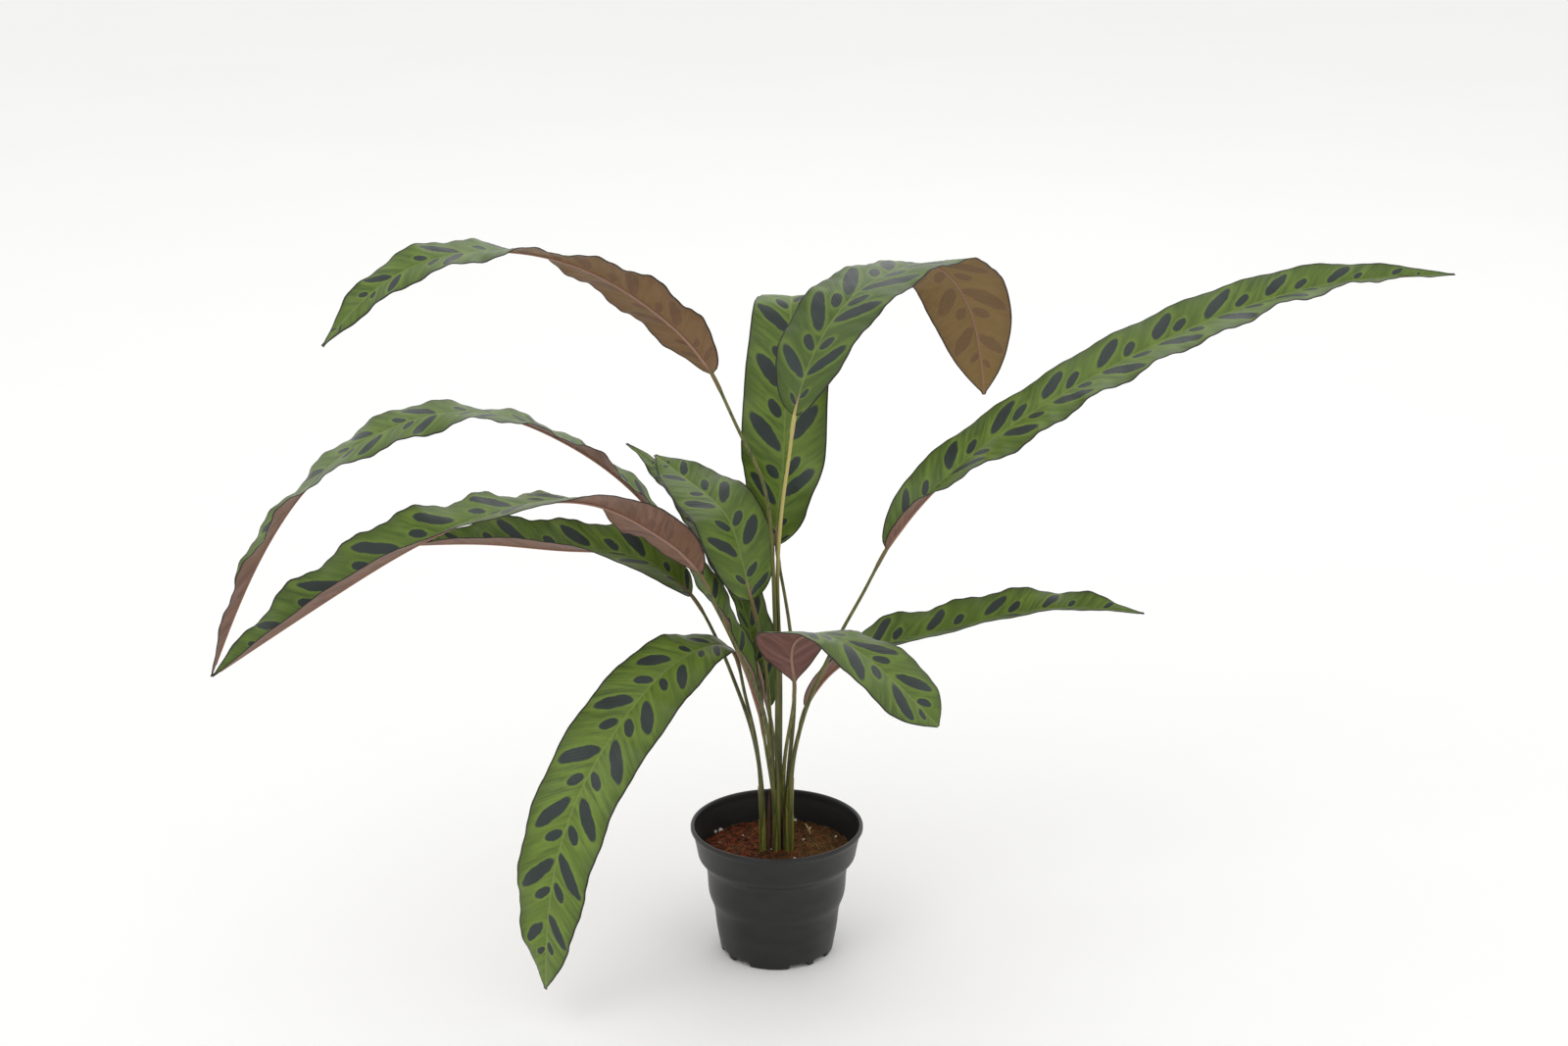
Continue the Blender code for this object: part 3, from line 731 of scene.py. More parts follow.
# Coir, milled coconut husk, pressed in by hand: matt red-brown crumbs; the near-black gaps between them are
# painted shade.
COIR = SpeckledFinish("milled_coir", roughness=0.95, specular=0.15, dark="#311b14", light="#7c4327",
                      deep="#140b08", grain=(4.0, 4.0, 4.0), fine_grain=2.0, contrast=(0.42, 0.60),
                      deep_share=0.85, relief=0.6, right="#54421f", right_share=0.6)

# Dead leaf sheath, dried on the plant: papery, brown-purple, lined along its length.
DRY_SHEATH = SpeckledFinish("dried_papery_sheath", roughness=0.8, specular=0.25, dark="#3f2b26",
                            light="#6f5142", deep="#2a1b18", grain=(0.9, 0.9, 14.0), relief=0.15)

# Living sheath, the clasping foot of the stalks: smooth olive-yellow, greener in streaks.
SHEATH = SpeckledFinish("clasping_leaf_sheath", roughness=0.5, specular=0.4, dark="#5f6a2a",
                        light="#8f8e3e", deep="#4b4a1e", grain=(1.3, 1.3, 30.0), fine_grain=2.5,
                        deep_share=0.35, relief=0.08)

# Perlite, heat-popped volcanic glass: dull white crumbs, faintly dusty.
PERLITE = SpeckledFinish("popped_perlite", roughness=0.9, specular=0.3, dark="#c9c5bb", light="#f1efe9",
                         deep="#9b958a", grain=(1.2, 1.2, 1.2), fine_grain=0.5, deep_share=0.3, relief=0.2)

# A fleck of straw in the soil: pale, dry and slightly shiny.
STRAW = SpeckledFinish("dry_straw", roughness=0.6, specular=0.35, dark="#a98d4f", light="#d6bd7c",
                       deep="#7d6232", grain=(0.6, 0.6, 3.0), fine_grain=0.4, deep_share=0.3, relief=0.05)

# Black polypropylene, injection-moulded: satin, with faint grey dust and flow marks round the wall.
POT_PLASTIC = SpeckledFinish("moulded_black_polypropylene", roughness=0.42, specular=0.35, dark="#181818",
                             light="#242424", deep="#2b2927", grain=(30.0, 30.0, 9.0), fine_grain=0.9,
                             contrast=(0.3, 0.7), deep_share=0.45, relief=0.03)

# Matt painted studio floor: pale and even.
FLOOR_PAINT = SpeckledFinish("pale_floor_paint", roughness=0.9, specular=0.1, dark="#f7f7f5",
                             light="#f8f8f6", deep="#f6f6f4", grain=(400.0, 400.0, 400.0),
                             fine_grain=60.0, deep_share=0.2, relief=0.0)


@dataclass(frozen=True)
class FibreFinish(Finish):
    """Coir fibres, each in its own tone between dark brown and orange-red."""

    dark: str = "#3c2418"
    light: str = "#91703f"
    red: str = "#a3432a"

    def dress(self, tree: bpy.types.NodeTree, shader: bpy.types.Node) -> None:
        """Link each fibre's own tone to the shader.

        Args:
            tree: the material's node tree.
            shader: its Principled node.
        """
        own = add_node(tree, "ShaderNodeAttribute", {"attribute_name": "tone"})
        parts = add_node(tree, "ShaderNodeSeparateXYZ", links={0: own.outputs["Vector"]})
        brown = add_node(tree, "ShaderNodeMix", {"data_type": "RGBA", MIX_FIRST: linear(self.dark),
                                                 MIX_SECOND: linear(self.light)},
                         {MIX_FACTOR: parts.outputs["X"]})
        reddened = add_node(tree, "ShaderNodeMix", {"data_type": "RGBA", MIX_SECOND: linear(self.red)},
                            {MIX_FACTOR: parts.outputs["Y"], MIX_FIRST: brown.outputs[MIX_RESULT]})
        tree.links.new(reddened.outputs[MIX_RESULT], shader.inputs["Base Color"])


# Coir fibre, combed from husk: dull, hair-fine; drawn 0.3 mm thick, coarser than life, so that it shows.
FIBRE = FibreFinish("combed_coir_fibre", roughness=0.85, specular=0.25)


@dataclass(frozen=True)
class Leaf:
    """One leaf: its stalk's points, and its blade's midrib points with the blade's roll and fold at each.

    The roll raises the edge on the plus side, and the fold is how far each half is raised from flat. The
    edge waves are the share of the usual wave on the minus and on the plus side. Shares from 0 to 1 say how
    ochre the underside is, how deep the green is and how pale the top of the stalk is.
    """

    name: str
    width: float
    stem: tuple[Row, ...]
    midrib: tuple[Row, ...]
    edge_waves: Span = (1.0, 1.0)
    widest_at: float = 0.32
    tip_power: float = 3.4
    base_power: float = 0.5
    phase: float = 0.0
    ochre: float = 0.2
    depth: float = 0.3
    pale_stalk: float = 0.0

    def curve(self, foot: float) -> tuple[SmoothCurve, float, float]:
        """Run one smooth curve up the stalk and on along the midrib.

        Args:
            foot: height at which the stalk starts in the soil.

        Returns:
            The curve, and its parameters at the blade's base and tip.
        """
        first = self.stem[0]
        stem = ((first[0], first[1], foot),) + self.stem
        turns = self.midrib[0][3:]
        curve = SmoothCurve(tuple((*point, *turns) for point in stem) + self.midrib)
        return curve, float(curve.knots[len(stem)]), float(curve.knots[-1])


LEAVES = (
    Leaf("a", 50.0,
         stem=((1.15, -2.35, 80), (0.6, -1.8, 122), (0.2, -1.0, 160), (0.4, -0.4, 200), (-1, -0.6, 240),
               (-2, -1, 274), (-4, -4, 312), (-11, -14, 354), (-21, -20, 378), (-33, -26, 407)),
         midrib=((-42, -30, 428, 36, 13), (-79, -55, 478, 30, 12), (-118, -80, 510, 20, 11),
                 (-174, -110, 530, 4, 10), (-234, -135, 519, -18, 11), (-276, -150, 480, -24, 11)),
         phase=0.4, ochre=0.5),
    Leaf("b", 45.0,
         stem=((-1.15, 0, 80), (-1.8, -0.4, 110), (-5, -2.6, 136), (-8, -3.6, 156)),
         midrib=((-11, -3, 175, -12, 55), (-33, -3, 240, -12, 36), (-63, 2, 294, 0, 16),
                 (-98, 8, 337, 12, 18), (-146, 6, 373, 12, 16), (-200, 0, 393, 3, 5),
                 (-262, -11, 382, -12, 5), (-300, -18, 358, 4, 10), (-336, -25, 313, 6, 28),
                 (-380, -35, 218, 14, 22)), widest_at=0.62, tip_power=5.0, phase=1.3),
    Leaf("c", 54.0,
         stem=((-1.15, -2.35, 80), (-2.0, -3.8, 112), (-4, -8, 145), (-8, -16, 180), (-17, -24, 212),
               (-29, -27, 240), (-40, -26, 264)),
         midrib=((-51, -24, 287, 36, 18), (-79, -45, 323, 30, 17), (-114, -70, 351, 18, 16),
                 (-181, -115, 361, 4, 16), (-232, -142, 345, -6, 42), (-268, -160, 327, -8, 52),
                 (-347, -195, 282, -10, 46)), edge_waves=(1.3, 0.25), tip_power=5.0, phase=2.2),
    Leaf("d", 46.0,
         stem=((-8.8, 1.2, 80), (-10.0, 2.4, 112), (-13, 7, 140), (-20, 13, 168), (-28, 17, 190),
               (-36, 17, 212), (-46, 13, 237)),
         midrib=((-58, 8, 260, -20, 20), (-97, 12, 287, -18, 24), (-141, 14, 291, -12, 44),
                 (-194, 12, 296, -12, 50), (-250, 6, 297, -12, 50)), edge_waves=(1.2, 0.25), phase=0.9),
    Leaf("e", 51.0,
         stem=((-1.15, 2.35, 80), (-1.6, 3.4, 110), (-3, 6, 140), (-5, 10, 175), (-7.5, 10, 205),
               (-11.5, 6, 232)),
         midrib=((-17, 3, 258, -8, 14), (-24, 17, 284, -8, 13), (-33, 39, 304, -12, 12),
                 (-56, 75, 316, -12, 10), (-86, 110, 328, -8, 10)), edge_waves=(0.7, 0.7), phase=3.0),
    Leaf("f", 60.0,
         stem=((7.1, 1.5, 80), (7.3, 2.6, 110), (8.6, 6.5, 136), (11, 12, 160), (12, 21, 195),
               (9, 36, 226), (4, 48, 254)),
         midrib=((0, 56, 279, 0, 12), (4, 62, 332, 0, 11), (6, 74, 378, 0, 9), (9, 96, 417, 0, 8),
                 (10, 126, 437, 0, 8), (12, 160, 424, 0, 8), (14, 186, 388, 0, 8)),
         edge_waves=(0.6, 0.6), widest_at=0.24, base_power=0.62, phase=1.8, depth=0.1),
    Leaf("g", 66.0,
         stem=((1.15, 0, 80), (1.9, 0.3, 122), (2.3, 0.8, 160), (2.4, 1.4, 200), (1.4, 1.6, 240),
               (0.6, 1.6, 274), (2, 2, 306), (5, 3, 336), (9, 4, 365)),
         midrib=((12, 4, 389, 0, 12), (26, 26, 428, 0, 11), (47, 55, 453, 0, 9), (78, 93, 465, -4, 8),
                 (112, 135, 458, -16, 8), (137, 165, 420, -34, 8), (150, 182, 351, -38, 8)),
         edge_waves=(0.7, 0.7), tip_power=6.0, phase=0.2, ochre=0.85, depth=0.8, pale_stalk=1.0),
    Leaf("h", 57.0,
         stem=((9.1, -1.2, 80), (9.3, -1.8, 110), (11, -2.6, 140), (15, -3, 162), (22, -4, 187),
               (32, -5, 212), (44, -6, 239), (59, -6, 268)),
         midrib=((74, -5, 298, 6, 62), (134, 8, 363, 11, 14), (205, 22, 407, 12, 13),
                 (285, 36, 444, 14, 16), (377, 48, 469, 12, 25), (457, 58, 472, 10, 25)),
         edge_waves=(1.0, 0.4), phase=2.6),
    Leaf("i", 45.0,
         stem=((9.6, 1.2, 80), (9.9, 1.7, 110), (11, 3.4, 134), (14.4, 8, 154)),
         midrib=((20, 12, 176, -30, 28), (39, 18, 202, -25, 28), (69, 25, 216, 0, 28), (113, 32, 225, 8, 30),
                 (168, 42, 235, 8, 30), (216, 48, 236, 8, 28), (256, 50, 231, 8, 26)),
         edge_waves=(0.3, 1.0), phase=1.1),
    Leaf("j", 62.0,
         stem=((3.6, 5.4, 80), (4.2, 3.4, 104), (4.6, -1, 126), (5.6, -6, 146), (9, -12, 172)),
         midrib=((12, -20, 208, 0, 12), (10, -30, 232, -4, 11), (16, -48, 252, -14, 9),
                 (34, -68, 260, -14, 8), (66, -92, 248, -2, 8), (105, -115, 215, 8, 8)),
         edge_waves=(0.6, 0.6), widest_at=0.36, tip_power=8.0, base_power=0.95, phase=2.0,
         ochre=0.0),
    Leaf("k", 55.0,
         stem=((-10.2, -0.9, 80), (-10.8, -1.4, 112), (-12, -1.2, 136), (-16, 1, 164), (-23, 6, 194)),
         midrib=((-30, 6, 220, -10, 10), (-59, -25, 230, -25, 9), (-97, -72, 208, -30, 8),
                 (-123, -100, 175, -30, 8), (-141, -116, 133, -26, 8), (-151, -122, 79, -26, 8),
                 (-154, -120, 28, -26, 8)), widest_at=0.42, tip_power=6.0, phase=0.7, depth=0.0),
    Leaf("l", 36.0,
         stem=((1.15, 2.35, 80), (1.2, 4.8, 110), (0.4, 9, 132), (-2, 14, 152)),
         midrib=((-6, 18, 173, 0, 55), (-15, 24, 212, 0, 50), (-24, 36, 244, 0, 40), (-48, 70, 283, 0, 25),
                 (-78, 105, 313, 0, 20), (-107, 130, 330, 0, 20)), phase=1.6),
)


@dataclass(frozen=True)
class Blade:
    """A leaf's blade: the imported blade's own surface, on a finer grid, with its small relief."""

    leaf: Leaf
    number: int
    step: float = 2.6
    shares: tuple[float, ...] = (0.0, 0.03, 0.07, 0.14, 0.23, 0.32, 0.41, 0.50, 0.59, 0.68, 0.77, 0.86, 0.93,
                                 0.98, 1.0)
    thickness: float = 0.5
    end_half_width: float = 1.2
    heading_steadiness: float = 0.15
    edge_droop: float = 0.10
    wave_length: float = 46.0
    wave_height: float = 2.0
    wave_fade: float = 0.12
    wave_spread: float = 1.6
    other_edge_start: float = 1.7
    slow_wave_height: float = 0.45
    slow_wave_rate: float = 0.63
    slow_wave_start: Span = (2.1, 1.0)
    crinkle_length: float = 13.0
    crinkle_height: float = 0.45
    pucker_length: float = 8.5
    pucker_height: float = 0.22
    pucker_slope: float = 0.78
    groove_depth: float = 0.2
    groove_width: float = 0.9

    def frames(self, rows: np.ndarray) -> tuple[np.ndarray, np.ndarray]:
        """Work out which way the blade lies at each row.

        Args:
            rows: midrib rows, with the roll in their fourth column.

        Returns:
            The directions across the blade and out of its upper face.
        """
        middle = rows[:, :3]
        forward = unit(np.gradient(middle, axis=0))
        level = (1.0, 1.0, 0.0)
        overall = unit((middle[-1] - middle[0]) * level)
        heading = unit(forward * level + self.heading_steadiness * overall)
        across = np.cross((0.0, 0.0, 1.0), heading)
        across = unit(across - np.sum(across * forward, axis=1, keepdims=True) * forward)
        upper = np.cross(forward, across)
        roll = np.radians(rows[:, 3:4])
        return (np.cos(roll) * across + np.sin(roll) * upper,
                np.cos(roll) * upper - np.sin(roll) * across)

    def half_widths(self, along: np.ndarray) -> np.ndarray:
        """Work out half of the blade's width at places along it from 0 to 1."""
        leaf = self.leaf
        swell = np.clip(1.0 - (1.0 - along / leaf.widest_at) ** 2, 0.0, 1.0) ** leaf.base_power
        late = np.clip((along - leaf.widest_at) / (1.0 - leaf.widest_at), 0.0, 1.0)
        shape = np.where(along < leaf.widest_at, swell, 1.0 - late**leaf.tip_power)
        return np.maximum(leaf.width / 2.0 * shape, self.end_half_width)

    def waves(self, along: np.ndarray, length: float, side: Side) -> np.ndarray:
        """Work out the edge's waves.

        Args:
            along: places along the blade from 0 to 1.
            length: the blade's length.
            side: which edge.

        Returns:
            The edge's height at each place.
        """
        turns = 2.0 * math.pi * along * length / self.wave_length
        start = self.leaf.phase + (0.0 if side is Side.MINUS else self.other_edge_start)
        slow_start = self.slow_wave_start[0] * start + self.slow_wave_start[1]
        slow_wave = np.sin(self.slow_wave_rate * turns + slow_start)
        wave = np.sin(turns + start) + self.slow_wave_height * slow_wave
        crinkle = np.sin(turns * self.wave_length / self.crinkle_length + 3.0 * start)
        fade = np.clip(np.minimum(along, 1.0 - along) / self.wave_fade, 0.0, 1.0)
        share = self.leaf.edge_waves[0 if side is Side.MINUS else 1]
        return share * fade * (self.wave_height * wave + self.crinkle_height * crinkle)

    def places(self) -> list[float]:
        """List the places of the columns across the blade, from -1 at one edge to 1 at the other."""
        return [-share for share in reversed(self.shares[1:])] + list(self.shares)

    def surface(self, rows: np.ndarray) -> np.ndarray:
        """Work out the blade's upper face.

        Args:
            rows: midrib rows, with the roll and the fold in their last columns.

        Returns:
            Places with the shape (rows, columns, 3).
        """
        across, upper = self.frames(rows)
        length = float(np.sum(np.linalg.norm(np.diff(rows[:, :3], axis=0), axis=1)))
        along = np.linspace(0.0, 1.0, len(rows))
        half = self.half_widths(along)
        fold = np.radians(rows[:, 4])
        edges = {side: self.waves(along, length, side) for side in Side}
        columns = []
        for place in self.places():
            share = abs(place)
            side = Side.MINUS if place < 0.0 else Side.PLUS
            out = half * place * np.cos(fold)
            lift = half * share * np.sin(fold) - self.edge_droop * half * share**2
            lift = lift + share**self.wave_spread * edges[side]
            slant = (along * length - self.pucker_slope * half * share) / self.pucker_length
            swell = np.clip(half / 10.0, 0.0, 1.0) * 4.0 * share * (1.0 - share)
            lift = lift + self.pucker_height * swell * np.sin(2.0 * math.pi * slant)
            lift = lift - self.groove_depth * np.exp(-((half * share / self.groove_width) ** 2))
            columns.append(rows[:, :3] + out[:, None] * across + lift[:, None] * upper)
        return np.array(columns).transpose(1, 0, 2)

    def build(self, foot: float, skins: list[bpy.types.Material]) -> bpy.types.Object:
        """Build the blade.

        Args:
            foot: height at which the leaf's stalk starts.
            skins: the upper and the lower skin.

        Returns:
            The piece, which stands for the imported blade.
        """
        curve, base, tip = self.leaf.curve(foot)
        rows = curve.even(base, tip, self.step)
        along = np.linspace(0.0, 1.0, len(rows))
        half = self.half_widths(along)
        length = float(np.sum(np.linalg.norm(np.diff(rows[:, :3], axis=0), axis=1)))
        bm = bmesh.new()
        own = bm.verts.layers.float_vector.new("blade")
        tone = bm.verts.layers.float_vector.new("tone")
        table = bend_grid(bm, self.surface(rows))
        for row, verts in enumerate(table):
            for place, vert in zip(self.places(), verts):
                vert[own] = (half[row] * place, along[row] * length + self.number * LEAF_OFFSET, half[row])
                vert[tone] = (self.leaf.ochre, self.leaf.depth, 0.0)
        piece = add_piece("blade_" + self.leaf.name, bm, skins)
        add_wall(piece, self.thickness, inner_material=1)
        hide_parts("leaf_" + self.leaf.name)
        return piece


@dataclass(frozen=True)
class Stalk:
    """A leaf's stalk, swollen at its joint and running on under the blade as the rib."""

    leaf: Leaf
    number: int
    step: float = 3.0
    sides: int = 12
    foot_radius: float = 1.9
    middle_radius: float = 1.45
    middle_share: float = 0.5
    neck_radius: float = 1.1
    joint_radius: float = 1.45
    joint_length: float = 13.0
    rib_radius: float = 1.0
    tip_radius: float = 0.3
    sunk: float = 0.45
    sunk_share: float = 0.8
    rib_settles: float = 16.0
    rib_end_share: float = 0.985

    def build(self, foot: float, material: bpy.types.Material) -> bpy.types.Object:
        """Build the stalk.

        Args:
            foot: height at which it starts in the soil.
            material: its finish.

        Returns:
            The piece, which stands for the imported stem.
        """
        curve, base, tip = self.leaf.curve(foot)
        lower = curve.even(0.0, base, self.step)
        under = curve.even(base, base + (tip - base) * self.rib_end_share, self.step)
        rows = np.concatenate([lower, under[1:]])
        gone = np.linalg.norm(np.diff(rows[:, :3], axis=0), axis=1)
        travelled = np.concatenate([[0.0], np.cumsum(gone)])
        at_base = travelled[len(lower) - 1]
        past = travelled - at_base
        end = past[-1]
        marks = (-at_base, -at_base * self.middle_share, -self.joint_length - 3.0, -self.joint_length, -3.0,
                 self.rib_settles, end)
        sizes = (self.foot_radius, self.middle_radius, self.neck_radius, self.joint_radius,
                 self.joint_radius, self.rib_radius, self.tip_radius)
        radii = np.interp(past, marks, sizes)
        upper = np.zeros((len(rows), 3))
        upper[len(lower) - 1:] = Blade(self.leaf, self.number).frames(under)[1]
        drop = np.interp(past, (0.0, self.rib_settles), (0.0, 1.0)) * (self.sunk + self.sunk_share * radii)
        centres = rows[:, :3] - drop[:, None] * upper
        bm = bmesh.new()
        own = bm.verts.layers.float_vector.new("stalk")
        tone = bm.verts.layers.float_vector.new("tone")
        table = bend_grid(bm, rings_along(centres, radii, self.sides))
        past_rows = np.concatenate([past[:1], past, past[-1:]])
        for value, verts in zip(past_rows, table):
            share = min(1.0, max(0.0, 1.0 + value / at_base))
            for vert in verts:
                vert[own] = (value, share, float(self.number))
                vert[tone] = (self.leaf.pale_stalk, 0.0, 0.0)
        close_seams(bm)
        piece = add_piece("stalk_" + self.leaf.name, bm, [material])
        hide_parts("stem_" + self.leaf.name)
        return piece


@dataclass(frozen=True)
class Sheath:
    """A sheath that clasps a clump of stalks, with a slanted mouth."""

    clump: Clump
    centre: tuple[float, float]
    radii: tuple[float, float]
    top: float
    lean: tuple[float, float]
    mouth_turn: float
    slant: float = 9.0
    start: float = 62.0
    rows: int = 24
    sides: int = 28
    wall: float = 0.25
    mouth_share: float = 0.86
    lip: float = 0.25

    def build(self, number: int, material: bpy.types.Material) -> bpy.types.Object:
        """Build the sheath.

        Args:
            number: which of the clump's sheaths it is.
            material: its finish.

        Returns:
            The piece.
        """
        turns = np.linspace(0.0, 2.0 * math.pi, self.sides + 1)
        turns[-1] = 0.0
        mouth = math.radians(self.mouth_turn)
        tops = self.top - self.slant * (0.5 + 0.5 * np.cos(turns - mouth))
        points = np.zeros((self.rows + 1, self.sides + 1, 3))
        for row in range(self.rows + 1):
            up = row / self.rows
            height = self.start + (tops - self.start) * up
            risen = (height - self.start) / (self.top - self.start)
            narrow = 1.0 - (1.0 - self.mouth_share) * risen + self.lip * max(0.0, up - 0.92)
            bulge = 1.0 + 0.03 * np.sin(5.0 * turns + 2.0 * up + number)
            points[row, :, 0] = (self.centre[0] + self.lean[0] * risen**1.6
                                 + self.radii[0] * narrow * bulge * np.cos(turns))
            points[row, :, 1] = (self.centre[1] + self.lean[1] * risen**1.6
                                 + self.radii[1] * narrow * bulge * np.sin(turns))
            points[row, :, 2] = height
        bm = bmesh.new()
        bend_grid(bm, points)
        close_seams(bm)
        piece = add_piece(f"sheath_{self.clump.value}_{number}", bm, [material])
        add_wall(piece, self.wall)
        return piece


SHEATHS = (
    Sheath(Clump.LEFT, (-9.5, 0.1), (2.1, 2.6), top=122.0, lean=(-1.9, 0.6), mouth_turn=20.0),
    Sheath(Clump.LEFT, (-9.5, 0.1), (2.4, 2.9), top=104.0, lean=(-1.0, 0.3), mouth_turn=200.0),
    Sheath(Clump.MIDDLE, (0.0, 0.0), (2.6, 3.9), top=126.0, lean=(0.0, 0.3), mouth_turn=-30.0),
    Sheath(Clump.MIDDLE, (0.0, -0.1), (2.9, 4.2), top=109.0, lean=(-0.1, 0.2), mouth_turn=150.0),
    Sheath(Clump.RIGHT, (8.6, 0.4), (2.8, 2.9), top=128.0, lean=(1.1, 1.0), mouth_turn=160.0),
    Sheath(Clump.RIGHT, (8.6, 0.4), (3.1, 3.2), top=108.0, lean=(0.3, 0.5), mouth_turn=-20.0),
)


@dataclass(frozen=True)
class DryStrip:
    """A curled strip of dried sheath that stands between the clumps."""

    foot: tuple[float, float]
    tip: tuple[float, float, float]
    width: float
    curl: float
    face: float
    start: float = 66.0
    rows: int = 20
    columns: int = 8
    wall: float = 0.25
    crinkle: float = 0.35

    def build(self, number: int, material: bpy.types.Material) -> bpy.types.Object:
        """Build the strip.

        Args:
            number: which strip it is.
            material: its finish.

        Returns:
            The piece.
        """
        first = np.array((*self.foot, self.start))
        last = np.array(self.tip)
        points = np.zeros((self.rows + 1, self.columns + 1, 3))
        for row in range(self.rows + 1):
            up = row / self.rows
            middle = first + (last - first) * up
            half = self.width / 2.0 * max(0.06, (1.0 - up**2.2) * (0.75 + 0.25 * math.sin(3.0 * up + number)))
            for column in range(self.columns + 1):
                across = 2.0 * column / self.columns - 1.0
                bend = across * math.radians(self.curl)
                turn = math.radians(self.face) + bend
                shrink = self.crinkle * math.sin(9.0 * up + 4.0 * across + number)
                points[row, column] = middle + (half * across * math.cos(turn) + 0.2 * shrink,
                                                half * across * math.sin(turn) + shrink * (1.0 - up), 0.0)
        bm = bmesh.new()
        bend_grid(bm, points)
        piece = add_piece(f"dry_sheath_{number}", bm, [material])
        add_wall(piece, self.wall, offset=0.0)
        return piece


DRY_STRIPS = (
    DryStrip((-5.2, -1.2), (-5.0, -0.6, 121.0), width=5.2, curl=38.0, face=12.0),
    DryStrip((4.3, -0.4), (4.8, 1.4, 112.0), width=4.2, curl=42.0, face=-24.0),
    DryStrip((-4.3, 2.6), (-6.2, 3.4, 102.0), width=4.0, curl=30.0, face=60.0),
)


@dataclass(frozen=True)
class Pot:
    """The nursery pot: a turned wall with a collar, a ledge, a rolled rim and drain notches."""

    height: float = 94.0
    rim_radius: float = 60.0
    wall: float = 1.3
    body: tuple[Span, ...] = (
        (38.0, 0.0), (39.3, 1.4), (43.2, 24.0), (44.9, 36.0), (46.9, 41.5), (47.8, 46.0),
        (49.2, 62.5), (50.9, 67.0), (54.3, 71.0), (55.4, 75.0), (58.5, 90.0),
    )
    floor_height: float = 4.8
    floor_corner: Span = (1.5, 1.2)
    inside_start: float = 6.8
    recess_height: float = 3.2
    recess_draft: float = 0.6
    foot_ring_inside: float = 34.0
    foot_disc_radius: float = 13.0
    foot_count: int = 4
    foot_turn: float = -98.0
    notch_from_foot: float = 31.5
    notch_half_width: float = 7.0
    notch_top: float = 3.5
    turn_steps: int = 180
    smooth_steps: int = 7
    facet_count: int = 10
    facet_depth: float = 0.35
    facet_top: float = 40.0

    def inner_radius(self, height: float) -> float:
        """Read the radius of the pot's inside at a height."""
        heights = [point[1] for point in self.body]
        radii = [point[0] - self.wall for point in self.body]
        return float(np.interp(height, heights, radii))

    def softened(self, outline: list[Span]) -> list[Span]:
        """Run a smooth line through an outline's points.

        Args:
            outline: (radius, height) points.

        Returns:
            More points, still through the given ones.
        """
        curve = SmoothCurve(tuple((radius, 0.0, height) for radius, height in outline))
        found = []
        for start, end in zip(curve.knots, curve.knots[1:]):
            steps = np.linspace(start, end, self.smooth_steps, endpoint=False)
            found += [(float(row[0]), float(row[2])) for row in curve.read(steps)]
        return found + [outline[-1]]

    def outline(self) -> list[Span]:
        """Work out the outline: up the inside, over the rim, down the outside and in below."""
        body = self.softened(list(self.body[1:]))
        inside = [(radius - self.wall, height) for radius, height in body if height > self.inside_start]
        corner_height = self.floor_height + self.floor_corner[1]
        corner = self.inner_radius(corner_height)
        up = [(0.0, self.floor_height), (corner - self.floor_corner[0], self.floor_height),
              (corner, corner_height)] + inside
        lip = [(57.2, 92.8), (57.5, 93.5), (58.1, 93.9), (58.7, self.height), (59.3, 93.9), (59.8, 93.5),
               (self.rim_radius, 92.9), (self.rim_radius, 91.2), (59.7, 90.7), (59.0, 90.5)]
        below = [(38.9, 0.6), (38.0, 0.0), (self.foot_ring_inside, 0.0),
                 (self.foot_ring_inside - self.recess_draft, self.recess_height),
                 (self.foot_disc_radius + self.recess_draft, self.recess_height),
                 (self.foot_disc_radius, 0.0), (0.0, 0.0)]
        return up + lip + list(reversed(body)) + below

    def build(self, material: bpy.types.Material) -> bpy.types.Object:
        """Turn the pot, press its soft facets in and raise its notches.

        Args:
            material: its finish.

        Returns:
            The piece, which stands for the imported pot.
        """
        bm = bmesh.new()
        verts = [bm.verts.new((radius * MM, 0.0, height * MM)) for radius, height in self.outline()]
        edges = [bm.edges.new(pair) for pair in zip(verts, verts[1:])]
        bmesh.ops.spin(bm, geom=verts + edges, axis=(0, 0, 1), cent=(0, 0, 0), dvec=(0, 0, 0),
                       angle=2.0 * math.pi, steps=self.turn_steps, use_merge=True)
        close_seams(bm)
        for vert in bm.verts:
            self.shape(vert)
        piece = add_piece("nursery_pot", bm, [material])
        piece.data.set_sharp_from_angle(angle=math.radians(50.0))
        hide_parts("pot")
        return piece

    def shape(self, vert: bmesh.types.BMVert) -> None:
        """Press the wall's soft facets and notches into one vertex."""
        x, y, z = vert.co / MM
        radius = math.hypot(x, y)
        turn = math.degrees(math.atan2(y, x))
        if radius > self.foot_ring_inside and self.notch_top < z < self.facet_top:
            low = min(1.0, (z - self.notch_top) / 8.0) * min(1.0, (self.facet_top - z) / 12.0)
            wave = 0.5 + 0.5 * math.cos(math.radians(turn * self.facet_count))
            scale = 1.0 - self.facet_depth * low * wave / radius
            vert.co.x *= scale
            vert.co.y *= scale
        if radius > self.foot_ring_inside - self.recess_draft and z < self.notch_top:
            for foot in range(self.foot_count):
                for sign in (-1.0, 1.0):
                    middle = self.foot_turn + foot * 360.0 / self.foot_count + sign * self.notch_from_foot
                    away = (turn - middle + 180.0) % 360.0 - 180.0
                    if abs(math.radians(away)) * radius < self.notch_half_width:
                        vert.co.z = self.notch_top * MM


